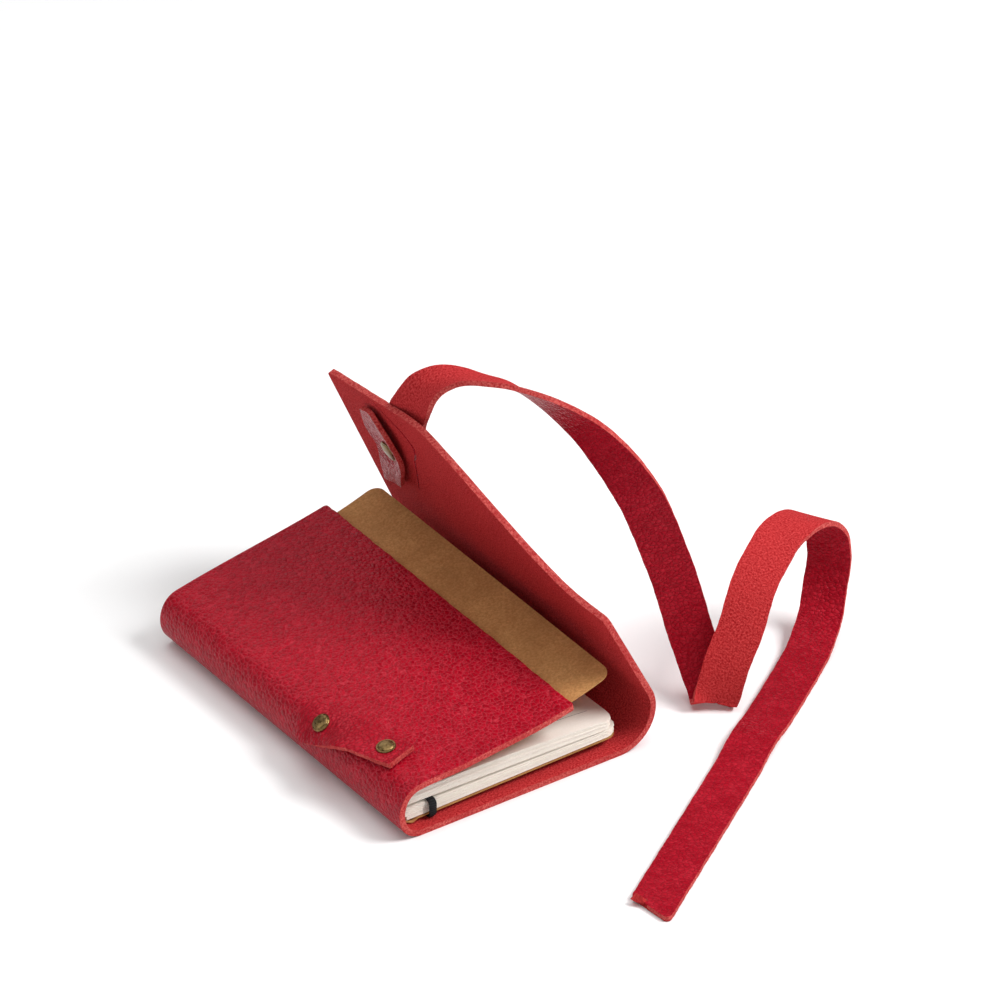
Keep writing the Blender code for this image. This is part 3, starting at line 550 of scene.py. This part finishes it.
def corner_cut(gap, radius):
    """How far a rounded corner draws an edge back, at a distance from the side."""
    if gap >= radius:
        return 0.0
    return radius - sqrt(max(radius ** 2 - (radius - gap) ** 2, 0.0))


def ragged(t):
    """The slight unevenness of an edge cut by hand, in metres, along its length."""
    return sum(size * sin(t * pace + offset) for size, pace, offset in EDGE_ROUGHNESS)


def row_place(along):
    """Y of a row, from the tail to the head, the rows set closer near the hand-cut ends."""
    return -HALF + 2 * HALF * dense_ends(along)


def on_cover(u, y, height=0.0):
    """A point over the outside of spine and front, by its distance past the end of the spine's bend."""
    if u >= 0:
        place = FRONT_START + u * FRONT_ALONG
        out = FRONT_OUT.copy()
        lift = SPINE_LIFT * (1 - smooth(u / FRONT_END))
    else:
        angle = pi / 2 + FRONT_RISE - u / SPINE_RADIUS
        out = Vector((cos(angle), 0, sin(angle)))
        place = SPINE + SPINE_RADIUS * out
        lift = SPINE_LIFT * smooth((place.z - SPINE_LIFT_FROM) / SPINE_LIFT_OVER)
    sag = (TAIL_SAG * smooth((-y - TAIL_SAG_FROM) / TAIL_SAG_OVER)
           * smooth(u / FRONT_SAG_OVER) * smooth((FRONT_SAG_END - u) / FRONT_SAG_FADE))
    twist = FRONT_TWIST * y / HALF * max(u, 0) / FRONT_END
    return place + height * out + Vector((0, y, lift - sag + twist))


BACK_START = -SPINE_RADIUS * (pi - FRONT_RISE)


def cover_point(u, y, height=0.0):
    """The same, carried on under the back panel."""
    if u >= BACK_START:
        return on_cover(u, y, height)
    return Vector((SPINE.x + (BACK_START - u), y, -height))


def flap_height(y):
    """Height of the flap's cut edge: low at the tail, climbing to a tongue, then falling away."""
    climbed = smooth((y - FLAP_CLIMB_FROM) / FLAP_CLIMB_OVER)
    climb = FLAP_LOW + (FLAP_TALL - FLAP_LOW + FLAP_CREST) * climbed
    fall = FLAP_TALL - FLAP_FALL * (y - FLAP_TONGUE_Y)
    near = min(max(0.5 + (fall - climb) / (2 * FLAP_TONGUE_ROUND), 0.0), 1.0)
    height = fall * (1 - near) + climb * near - FLAP_TONGUE_ROUND * near * (1 - near)
    return height - corner_cut(HALF - abs(y), FLAP_CORNER) + ragged(y)


def flap_lean(y):
    """The angle of the fold's bend, which changes from tail to head."""
    return FLAP_LEAN - FLAP_TWIST * y / HALF


def flap_point(s, y, height=0.0):
    """A point over the outside of back, fold and flap, by its distance past the start of the fold."""
    if s <= 0:
        return Vector((FOLD.x + s, y, -height))
    lean = flap_lean(y)
    bend = FOLD_RADIUS * lean
    if s < bend:
        angle = s / FOLD_RADIUS - pi / 2
        out = Vector((cos(angle), 0, sin(angle)))
        return FOLD + (FOLD_RADIUS + height) * out + Vector((0, y, 0))
    out = Vector((sin(lean), 0, -cos(lean)))
    along = Vector((cos(lean), 0, sin(lean)))
    return FOLD + (FOLD_RADIUS + height) * out + (s - bend) * along + Vector((0, y, 0))


def mapped_grid(name, columns, rows, place, flat):
    """A grid shaped point by point, with its flat coordinates in metres as its UV map."""
    bpy.ops.mesh.primitive_grid_add(x_subdivisions=columns, y_subdivisions=rows, size=2)
    sheet = bpy.context.object
    sheet.name = name
    sheet.data.name = name
    uv = sheet.data.uv_layers.active or sheet.data.uv_layers.new()
    shares = [((v.co.x + 1) / 2, (v.co.y + 1) / 2) for v in sheet.data.vertices]
    for loop in sheet.data.loops:
        uv.data[loop.index].uv = flat(*shares[loop.vertex_index])
    for vertex, (across, along) in zip(sheet.data.vertices, shares):
        vertex.co = place(across, along)
    return sheet


def point_outward(sheet, outward):
    """Turn a grid's faces to the outside of the leather, from the look of its middle face."""
    face = sheet.data.polygons[len(sheet.data.polygons) // 2]
    if face.normal.dot(outward(face.center)) < 0:
        sheet.data.flip_normals()


def apply_modifier(piece, modifier):
    """Apply a modifier, leaving the piece active and selected."""
    bpy.context.view_layer.objects.active = piece
    piece.select_set(True)
    bpy.ops.object.modifier_apply(modifier=modifier.name)


def thicken(sheet, thickness, materials, bevel=CUT_BEVEL, joins=None):
    """Give a sheet its thickness and rub down its cut corners, except where it joins its neighbour."""
    for look in materials:
        sheet.data.materials.append(look)
    solid = sheet.modifiers.new("hide_thickness", "SOLIDIFY")
    solid.thickness = thickness
    solid.offset = -1
    solid.use_quality_normals = True
    solid.material_offset = min(1, len(materials) - 1)
    solid.material_offset_rim = len(materials) - 1
    apply_modifier(sheet, solid)
    if bevel:
        rub_edges(sheet, bevel, joins)
    bpy.ops.object.shade_smooth_by_angle(angle=radians(40))
    sheet.select_set(False)


def rub_edges(sheet, bevel, joins):
    """Bevel the sharp edges of a thick sheet, but not those that the joins function names."""
    bpy.ops.object.mode_set(mode="EDIT")
    bpy.ops.mesh.select_mode(type="EDGE")
    bpy.ops.mesh.select_all(action="DESELECT")
    bm = bmesh.from_edit_mesh(sheet.data)
    for edge in bm.edges:
        sharp = len(edge.link_faces) == 2 and edge.calc_face_angle(0) > radians(50)
        if sharp and not (joins and all(joins(v.co) for v in edge.verts)):
            edge.select_set(True)
    bmesh.update_edit_mesh(sheet.data)
    bpy.ops.mesh.bevel(offset=bevel, segments=3, affect="EDGES", clamp_overlap=True)
    bpy.ops.object.mode_set(mode="OBJECT")


def cover_spine_side():
    """Half the back panel, the spine and its shoulder, up to the line where the front presses down."""
    start = BACK_START + SPINE.x

    def flat(across, along):
        return start + (SHOULDER - start) * across, row_place(along)

    sheet = mapped_grid("cover_spine_side", 100, 80, lambda a, b: cover_point(*flat(a, b)), flat)
    point_outward(sheet, lambda p: p - Vector((0, p.y, 0.008)))
    edge = on_cover(SHOULDER, 0)

    def at_join(p):
        return p.x > edge.x - JOIN_REACH and p.z > SPINE.z or abs(p.x) < MIDDLE_REACH

    thicken(sheet, LEATHER, (GRAIN, SUEDE, CUT_EDGE), joins=at_join)
    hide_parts("cover_back", "cover_spine", "cover_shoulder")
    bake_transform(sheet)


def cover_front_side():
    """The lifted front panel, a little twisted, with its tail edge sagging."""
    def flat(across, along):
        y = row_place(along)
        reach = FRONT_END - corner_cut(HALF - abs(y), FRONT_CORNER) + ragged(y)
        return SHOULDER + (reach - SHOULDER) * across, y

    sheet = mapped_grid("cover_front_side", 60, 100, lambda a, b: on_cover(*flat(a, b)), flat)
    point_outward(sheet, lambda p: FRONT_OUT)
    edge = on_cover(SHOULDER, 0)
    thicken(sheet, LEATHER, (GRAIN, SUEDE, CUT_EDGE), joins=lambda p: p.x < edge.x + JOIN_REACH)
    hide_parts("cover_front")
    on_cover(SHOULDER, 0)
    on_cover(SHOULDER + 0.006, 0)
    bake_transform(sheet)


def cover_flap_side():
    """The other half of the back panel, the fore-edge fold and the flap, slit for the strap."""
    start = -FOLD.x

    def reach(across, along):
        y = row_place(along)
        fold_end = FOLD_RADIUS * flap_lean(y)
        if across < FOLD_SHARE:
            return start + (fold_end - start) * across / FOLD_SHARE, y
        return fold_end + flap_height(y) * (across - FOLD_SHARE) / (1 - FOLD_SHARE), y

    sheet = mapped_grid("cover_flap_side", 110, 130, lambda a, b: flap_point(*reach(a, b)), reach)
    point_outward(sheet, lambda p: p - Vector((0.02, p.y, 0.03)))
    thicken(sheet, LEATHER, (GRAIN, SUEDE, CUT_EDGE),
            joins=lambda p: abs(p.x) < MIDDLE_REACH and p.z < LEATHER * 1.5)
    cut_slit(sheet)
    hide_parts("cover_fore_edge", "cover_flap")
    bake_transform(sheet)


def flap_place(height_up, y, off=0.0):
    """A point on the flap's inner face, by its height above the fold, and off it towards the booklet."""
    return flap_point(FOLD_RADIUS * flap_lean(y) + height_up, y, -LEATHER - off)


def cut_slit(sheet):
    """The crooked slit beside the tab: fine at both ends, opened up at its bend, cut by a blade that carries
    painted shade for its walls.
    """
    def flat(across, along):
        y, up = through(SLIT, along)
        y_next, up_next = through(SLIT, min(along + 0.01, 1))
        y_last, up_last = through(SLIT, max(along - 0.01, 0))
        run = sqrt((y_next - y_last) ** 2 + (up_next - up_last) ** 2)
        off = through(SLIT_WIDTHS, along) * (across - 0.5)
        return float(y + off * (up_next - up_last) / run), float(up - off * (y_next - y_last) / run)

    def place(across, along):
        y, up = flat(across, along)
        return flap_place(up, y, SLIT_CLEAR)

    blade = mapped_grid("slit_blade", 1, SLIT_STEPS, place, flat)
    point_outward(blade, lambda p: Vector((-1, 0, -0.4)))
    # Painted shade: the blade carries a near-black colour for the slit's walls.
    blade.data.materials.append(SLIT_PAINTED_SHADE)
    depth = blade.modifiers.new("depth", "SOLIDIFY")
    depth.thickness = SLIT_DEPTH
    depth.offset = -1
    apply_modifier(blade, depth)
    blade.select_set(False)
    cut = sheet.modifiers.new("slit", "BOOLEAN")
    cut.operation = "DIFFERENCE"
    cut.object = blade
    apply_modifier(sheet, cut)
    sheet.select_set(False)
    bpy.data.objects.remove(blade)


# The keeper and the rivets

def keeper_spot(along, across):
    """Distance round the cover and Y of a point on the keeper."""
    u = KEEPER_U + across * cos(KEEPER_TURN) - along * sin(KEEPER_TURN)
    y = KEEPER_Y + across * sin(KEEPER_TURN) + along * cos(KEEPER_TURN)
    return u, y


def keeper_height(along, across):
    """The keeper lies down at its rivets, stands off between them and curls a little at its ends."""
    from_middle = abs(along - RIVET_SHIFT)
    share = min(from_middle / (RIVET_SPACING / 2 - CAP_RADIUS), 1)
    arch = KEEPER_RAISE * (1 - share * share) ** 2
    lean = 1 - KEEPER_TILT * across / (KEEPER_WIDTH / 2)
    end = smooth((from_middle - RIVET_SPACING / 2 - 0.003) / 0.006)
    return KEEPER_OFF + arch * lean + KEEPER_END_CURL * end


def keeper():
    """The strip riveted across the spine's edge, its corners cut unevenly."""
    half = KEEPER_LENGTH / 2
    head_far, head_near, tail = KEEPER_CORNERS

    def flat(across, along):
        place = (2 * dense_ends(along) - 1) * half
        side = 2 * dense_ends(across) - 1
        head_end = corner_cut(half - place, head_far if side > 0 else head_near)
        tail_end = corner_cut(half + place, tail)
        width = KEEPER_WIDTH / 2 - head_end - tail_end
        return side * width + ragged(place), place

    def place(across, along):
        side, length = flat(across, along)
        height = keeper_height(length, side) + KEEPER_THICKNESS
        wrapped = on_cover(*keeper_spot(length, side), height)
        if side >= 0:
            return wrapped
        middle = on_cover(*keeper_spot(length, 0), height)
        level = keeper_height(length, 0) + KEEPER_THICKNESS
        chord = (on_cover(*keeper_spot(length, KEEPER_CHORD), level)
                 - on_cover(*keeper_spot(length, -KEEPER_CHORD), level))
        tangent = chord / (2 * KEEPER_CHORD)
        return wrapped.lerp(middle + side * tangent, KEEPER_STIFFNESS)

    strip = mapped_grid("keeper_strip", 26, 70, place, flat)
    point_outward(strip, lambda p: FRONT_OUT - Vector((1, 0, 0)))
    thicken(strip, KEEPER_THICKNESS, (STRAP_GRAIN, SUEDE, CUT_EDGE), bevel=0.00035)
    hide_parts("keeper")
    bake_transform(strip)


def turned_cap(name, seat, out, depth, radius=CAP_RADIUS):
    """A low-domed cap with a rolled rim and its shank, drawn out ring by ring from the shank's end."""
    profile = [(SHANK_RADIUS, -depth), (SHANK_RADIUS, 0.0), (radius - RIM_ROLL, 0.0),
               (radius, RIM_ROLL), (radius, RIM_SIDE)]
    profile += [(radius - inset, height) for inset, height in (RIM_SHOULDER, RIM_TOP, CROWN_FOOT)]
    crown, foot = profile[-1]
    for step in range(1, CROWN_RINGS):
        angle = step / CROWN_RINGS * pi / 2
        profile.append((crown * cos(angle), foot + (CAP_HEIGHT - foot) * sin(angle)))
    bpy.ops.mesh.primitive_circle_add(vertices=48, radius=profile[0][0], fill_type="NGON",
                                      location=(0, 0, profile[0][1]))
    cap = bpy.context.object
    cap.name = name
    cap.data.name = name
    bpy.ops.object.mode_set(mode="EDIT")
    bpy.ops.mesh.select_all(action="SELECT")
    for (near, height), (far, next_height) in zip(profile, profile[1:]):
        bpy.ops.mesh.extrude_region_move(TRANSFORM_OT_translate={"value": (0, 0, next_height - height)})
        share = far / near
        bpy.ops.transform.resize(value=(share, share, 1), center_override=(0, 0, 0))
    bpy.ops.mesh.select_all(action="SELECT")
    bpy.ops.mesh.normals_make_consistent(inside=False)
    bpy.ops.object.mode_set(mode="OBJECT")
    bpy.ops.object.transform_apply(location=True, rotation=True, scale=True)
    turn = Vector((0, 0, 1)).rotation_difference(out).to_matrix().to_4x4()
    cap.data.transform(Matrix.Translation(seat) @ turn)
    bpy.ops.object.shade_smooth_by_angle(angle=radians(35))
    cap.data.materials.append(BRASS)
    cap.select_set(False)
    return cap


def keeper_rivets():
    """The two caps that hold the keeper."""
    for number, side in ((1, 1), (2, -1)):
        along = RIVET_SHIFT + side * RIVET_SPACING / 2
        u, y = keeper_spot(along, 0)
        seat = on_cover(u, y, keeper_height(along, 0) + KEEPER_THICKNESS)
        out = (on_cover(u, y, 0.01) - on_cover(u, y)).normalized()
        cap = turned_cap(f"keeper_rivet_{number}", seat, out, KEEPER_THICKNESS + LEATHER)
        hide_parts(f"keeper_rivet_cap_{number}")
        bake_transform(cap)


# The strap and its riveted tab

def spline(before, start, end, after, t):
    """Catmull-Rom interpolation between start and end."""
    return 0.5 * (2 * start + (end - before) * t + (2 * before - 5 * start + 4 * end - after) * t ** 2
                  + (3 * start - before - 3 * end + after) * t ** 3)


def strap_stations(step):
    """Centre and cross direction along the strap, read from a smooth curve through the route."""
    points = [np.array(point) for point, _ in STRAP_ROUTE]
    sides = [np.array(side) for _, side in STRAP_ROUTE]
    dense = []
    for k in range(len(points) - 1):
        before, after = max(k - 1, 0), min(k + 2, len(points) - 1)
        finer = 4 if after == k + 1 else 1
        steps = max(int(np.linalg.norm(points[k + 1] - points[k]) / step * finer), 1)
        for t in np.arange(steps) / steps:
            dense.append([Vector(spline(group[before], group[k], group[k + 1], group[after], t))
                          for group in (points, sides)])
    dense.append([Vector(points[-1]), Vector(sides[-1])])
    return dense


def strap():
    """The long tie strap: a ribbon of hide, its free end cut on a slant."""
    stations = strap_stations(STRAP_STEP)
    lengths = [0.0]
    for (near, _), (far, _) in zip(stations, stations[1:]):
        lengths.append(lengths[-1] + (far - near).length)
    total = lengths[-1]
    rows = len(stations) - 1
    frames = []
    for k, (point, side) in enumerate(stations):
        ahead = stations[min(k + 1, rows)][0]
        behind = stations[max(k - 1, 0)][0]
        along = (ahead - behind).normalized()
        across = (side - side.dot(along) * along).normalized()
        frames.append((point, across, across.cross(along).normalized(), along))

    def flat(across, along):
        k = round(along * rows)
        side = 2 * dense_ends(across) - 1
        near_end = smooth((lengths[k] - total + STRAP_END_RUN) / STRAP_END_RUN)
        corner = corner_cut(total - lengths[k], STRAP_CORNER)
        further = STRAP_SPARE * near_end + side * STRAP_SLANT / 2 * near_end
        return side * (STRAP_WIDTH / 2 - corner) + 0.5 * ragged(lengths[k]), lengths[k] + further

    def place(across, along):
        k = round(along * rows)
        point, side, face, forward = frames[k]
        offset, length = flat(across, along)
        return point + offset * side + (length - lengths[k]) * forward - STRAP_THICKNESS / 2 * face

    ribbon = mapped_grid("tie_strap", 14, rows, place, flat)
    ribbon.data.flip_normals()
    thicken(ribbon, STRAP_THICKNESS, (STRAP_GRAIN, SUEDE, CUT_EDGE), bevel=0.0002)
    for vertex in ribbon.data.vertices:
        vertex.co.z = max(vertex.co.z, STRAP_LOWEST)
    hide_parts("strap")
    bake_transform(ribbon)


def through(points, t):
    """A smooth curve through a few chosen points, t from 0 to 1."""
    place = min(max(t, 0), 1) * (len(points) - 1)
    k = min(int(place), len(points) - 2)
    before, after = max(k - 1, 0), min(k + 2, len(points) - 1)
    groups = [np.array(points[i]) for i in (before, k, k + 1, after)]
    return spline(*groups, place - k)


def strap_tab():
    """The strap's riveted end inside the flap, puckered round its rivet and lifting at the slit."""
    rivet_y, rivet_up = TAB_RIVET

    def spot(across, along):
        side, length = dense_ends(across), dense_ends(along)
        left, right = through(TAB_LEFT, length), through(TAB_RIGHT, length)
        y, up = left + (right - left) * side
        return float(y), float(up)

    def place(across, along):
        y, up = spot(across, along)
        side = dense_ends(across)
        away = sqrt((y - rivet_y) ** 2 + (up - rivet_up) ** 2)
        pucker = TAB_PUCKER * smooth((away - CAP_RADIUS) / TAB_PUCKER_OVER)
        mid_length = smooth(1.6 - 2.2 * abs(dense_ends(along) - 0.5))
        lift = TAB_LIFT * smooth((side - 0.55) / 0.45) * mid_length
        return flap_place(up, y, TAB_OFF + pucker + lift + STRAP_THICKNESS)

    tab = mapped_grid("strap_tab_end", 30, 60, place, spot)
    point_outward(tab, lambda p: Vector((-1, 0, -0.4)))
    thicken(tab, STRAP_THICKNESS, (STRAP_GRAIN, SUEDE, CUT_EDGE), bevel=0.0003)
    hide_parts("strap_tab")
    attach(tab, "flap")
    seat = flap_place(rivet_up, rivet_y, TAB_OFF + STRAP_THICKNESS)
    out = (flap_place(rivet_up, rivet_y, 0.01) - flap_place(rivet_up, rivet_y)).normalized()
    cap = turned_cap("strap_rivet", seat, out, STRAP_THICKNESS + LEATHER / 2, TAB_RIVET_RADIUS)
    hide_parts("strap_rivet_cap")
    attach(cap, "flap")


# The booklet

def fore_share(x):
    """Share of the way from the spine to the lower leaves' fore edge."""
    return (x - SPINE.x) / (LOWER_FORE_EDGE - SPINE.x)


def paper_sheet(name, levels, bulge, left, right, uneven):
    """One sheet of a section, with its heights at the spine and the fore edge."""
    tail, head, fore = uneven

    def flat(across, along):
        length = PAGE_LENGTH - tail + head
        y = PAGE_SHIFT - PAGE_LENGTH / 2 + tail + length * dense_ends(along)
        end = PAGE_LENGTH / 2 - abs(y - PAGE_SHIFT) + max(tail, head, 0)
        edge = right + fore - corner_cut(max(end, 0), PAGE_CORNER)
        return left + (edge - left) * across, y

    def place(across, along):
        x, y = flat(across, along)
        share = max(fore_share(x), 0)
        z = levels[0] + (levels[1] - levels[0]) * share + bulge * 4 * share * (1 - share)
        return Vector((x, y, z))

    sheet = mapped_grid(name, 12, 30, place, flat)
    point_outward(sheet, lambda p: Vector((0, 0, 1)))
    return sheet


def leaf_section(name, low, high, bulges, left, right, body, draws, top=False):
    """A section of the booklet as a stack of loose sheets."""
    pieces = []
    for index in range(SHEETS):
        share = (index + 1) / SHEETS
        level = [a + (b - a) * share for a, b in zip(low, high)]
        under = [a + (b - a) * index / SHEETS for a, b in zip(low, high)]
        bulge = bulges[0] + (bulges[1] - bulges[0]) * share
        uneven = [draws.uniform(-SHEET_UNEVEN, SHEET_UNEVEN) for _ in range(3)]
        sheet = paper_sheet(f"{name}_sheet_{index + 1}", level, bulge, left, right, uneven)
        pitch = (level[0] - under[0] + level[1] - under[1]) / 2
        looks = (TOP_PAGE, PAGE, PAGE) if top and index == SHEETS - 1 else (PAGE,)
        thicken(sheet, pitch * SHEET_FILL, looks, bevel=0)
        pieces.append(sheet)
    for sheet in pieces:
        sheet.select_set(True)
    bpy.context.view_layer.objects.active = pieces[0]
    bpy.ops.object.join()
    section = bpy.context.object
    section.name = name
    section.data.name = name
    section.select_set(False)
    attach(section, body)
    return section


def leaves():
    """Three sections below the middle spread and three above it."""
    draws = random.Random(7)
    upper_edge = LOWER_FORE_EDGE - UPPER_SET_BACK
    for half, base, top, hump, edge in (("lower", LOWER_BASE, LOWER_TOP, 0, LOWER_FORE_EDGE),
                                        ("upper", UPPER_BASE, UPPER_TOP, UPPER_HUMP, upper_edge)):
        for index in range(3):
            node = f"{half}_leaves_{index + 1}"
            low, high = section_levels(base, top, index)
            bulges = (hump * index / 3, hump * (index + 1) / 3)
            body = f"leaves_{index + 1}" if half == "upper" else "back"
            section = leaf_section(f"{half}_section_{index + 1}", low, high, bulges,
                                   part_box(node)[0][0], edge, body, draws, top=body == "leaves_3")
            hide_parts(node)


def section_levels(base, top, index):
    """Heights at the spine and the fore edge of a third of a half booklet's thickness."""
    lows = [a + (b - a) * index / 3 for a, b in zip(base, top)]
    highs = [a + (b - a) * (index + 1) / 3 - SECTION_GAP for a, b in zip(base, top)]
    return lows, highs


def kraft_front():
    """The booklet's front cover: under the leather, then curling up past its edge."""
    tail = PAGE_SHIFT - PAGE_LENGTH / 2
    length = KRAFT_FLAT + KRAFT_CURL_LENGTH
    start = SHOULDER + PANEL_GAP + KRAFT_START
    below = -LEATHER - KRAFT_CLEAR

    def flat(across, along):
        y = tail + PAGE_LENGTH * dense_ends(along)
        reach = length - corner_cut(PAGE_LENGTH / 2 - abs(y - PAGE_SHIFT), KRAFT_CORNER)
        return reach * across, y

    def place(across, along):
        s, y = flat(across, along)
        if s <= KRAFT_FLAT:
            return on_cover(start + s, y, below)
        root = on_cover(start + KRAFT_FLAT, y, below)
        slope = root - on_cover(start + KRAFT_FLAT - KRAFT_TANGENT, y, below)
        first = atan2(slope.z, slope.x)
        bend = KRAFT_CURL / KRAFT_CURL_LENGTH
        turn = first + bend * (s - KRAFT_FLAT)
        return root + Vector(((sin(turn) - sin(first)) / bend, 0, (cos(first) - cos(turn)) / bend))

    sheet = mapped_grid("kraft_front_cover", 60, 60, place, flat)
    point_outward(sheet, lambda p: Vector((0, 0, 1)))
    thicken(sheet, KRAFT, (KRAFT_PAPER,), bevel=0)
    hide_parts("kraft_front")
    on_cover(SHOULDER, 0)
    on_cover(SHOULDER + 0.006, 0)
    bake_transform(sheet)


def elastic():
    """A flat elastic band round the lower leaves, bulging at head and tail."""
    low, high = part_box("elastic_loop")
    x = (low[0] + high[0]) / 2
    half_y, half_z = (high[1] - low[1]) / 2 - BAND_SINK, (high[2] - low[2]) / 2 - BAND_SINK
    centre = Vector((x, (low[1] + high[1]) / 2, (low[2] + high[2]) / 2))
    corner = BAND_CORNER
    straight_y, straight_z = 2 * (half_y - corner), 2 * (half_z - corner)
    quarter = corner * pi / 2
    total = 2 * (straight_y + straight_z) + 4 * quarter

    def around(length):
        """Place and outward direction on the band's rounded rectangle."""
        sides = ((straight_y, (0, -1)), (straight_z, (1, 0)), (straight_y, (0, 1)), (straight_z, (-1, 0)))
        corners = [Vector(c) for c in ((-half_y, -half_z), (half_y, -half_z), (half_y, half_z),
                                       (-half_y, half_z))]
        for k, (straight, side) in enumerate(sides):
            out = Vector(side)
            along = Vector((-out.y, out.x))
            if length <= straight:
                return corners[k] + along * (corner + length), out
            length -= straight
            if length <= quarter:
                middle = corners[(k + 1) % 4] - (along + out) * corner
                way = out * cos(length / corner) + along * sin(length / corner)
                return middle + way * corner, way
            length -= quarter
        return corners[0], Vector(sides[0][1])

    def flat(across, along):
        return across * BAND_GIRTH, along * total

    def place(across, along):
        (y, z), out = around(along * total * 0.999999)
        angle = across * 2 * pi
        rib = BAND_RIB * cos(angle * BAND_RIBS)
        side = (BAND_HALF_WIDTH + rib) * cos(angle)
        thick = (BAND_HALF_THICKNESS + rib) * sin(angle)
        near_end = smooth((abs(y) - half_y + BAND_BULGE_OVER) / BAND_BULGE_OVER)
        bulge = BAND_BULGE * near_end * (1 if y > 0 else -1)
        return centre + Vector((side, y + out[0] * thick + bulge, z + out[1] * thick))

    band = mapped_grid("elastic_band", 40, 260, place, flat)
    bpy.context.view_layer.objects.active = band
    bpy.ops.object.mode_set(mode="EDIT")
    bpy.ops.mesh.select_all(action="SELECT")
    bpy.ops.mesh.remove_doubles(threshold=0.00002)
    bpy.ops.mesh.normals_make_consistent(inside=False)
    bpy.ops.object.mode_set(mode="OBJECT")
    bpy.ops.object.shade_smooth()
    band.data.materials.append(ELASTIC)
    band.select_set(False)
    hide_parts("elastic_loop")
    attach(band, "back")


def carried_nodes():
    """The solid model's own pieces that stay as they are, with their finishes."""
    looks = {"kraft_back": KRAFT_PAPER, "keeper_rivet_post_1": BRASS, "keeper_rivet_post_2": BRASS,
             "strap_rivet_post": BRASS, "staple_head": STEEL, "staple_tail": STEEL}
    for name, look in looks.items():
        node = frame["nodes"][name]
        node.data.materials.clear()
        node.data.materials.append(look)


# Camera, lights and floor

def camera():
    """A long lens, looking down past the tail and spine."""
    data = bpy.data.cameras.new("camera")
    data.lens = CAMERA_LENS
    data.sensor_width = 36
    data.clip_end = 20
    made = bpy.data.objects.new("camera", data)
    bpy.context.collection.objects.link(made)
    made.location = CAMERA_PLACE
    made.rotation_euler = (pi / 2 - CAMERA_DOWN, 0, -CAMERA_TURN)
    bpy.context.scene.camera = made


def floor():
    """A pale matt floor just under the object."""
    bpy.ops.mesh.primitive_plane_add(size=12, location=(0, 0, -0.0001))
    ground = bpy.context.object
    ground.name = "studio_floor"
    look, _, shader = start_material("pale_floor", 0.95)
    shader.inputs["Base Color"].default_value = (0.95, 0.95, 0.95, 1)
    shader.inputs["Specular IOR Level"].default_value = 0.0
    ground.data.materials.append(look)
    ground.select_set(False)


def soft_light(name, place, size, power):
    """A square soft light aimed at the object."""
    data = bpy.data.lights.new(name, "AREA")
    data.energy = power
    data.size = size
    made = bpy.data.objects.new(name, data)
    bpy.context.collection.objects.link(made)
    made.location = place
    made.rotation_euler = (LIGHT_TARGET - Vector(place)).to_track_quat("-Z", "Y").to_euler()


def studio():
    """A faint white surround and the soft lights."""
    world = bpy.data.worlds.new("studio")
    bpy.context.scene.world = world
    world.use_nodes = True
    surround = world.node_tree.nodes["Background"]
    surround.inputs["Color"].default_value = (1, 1, 1, 1)
    surround.inputs["Strength"].default_value = WORLD_STRENGTH
    bpy.context.scene.view_settings.view_transform = "Standard"
    for light in LIGHTS:
        soft_light(*light)


# Build the scene

camera()
floor()
studio()
strap()
cover_spine_side()
cover_front_side()
cover_flap_side()
keeper()
keeper_rivets()
strap_tab()
leaves()
kraft_front()
elastic()
carried_nodes()
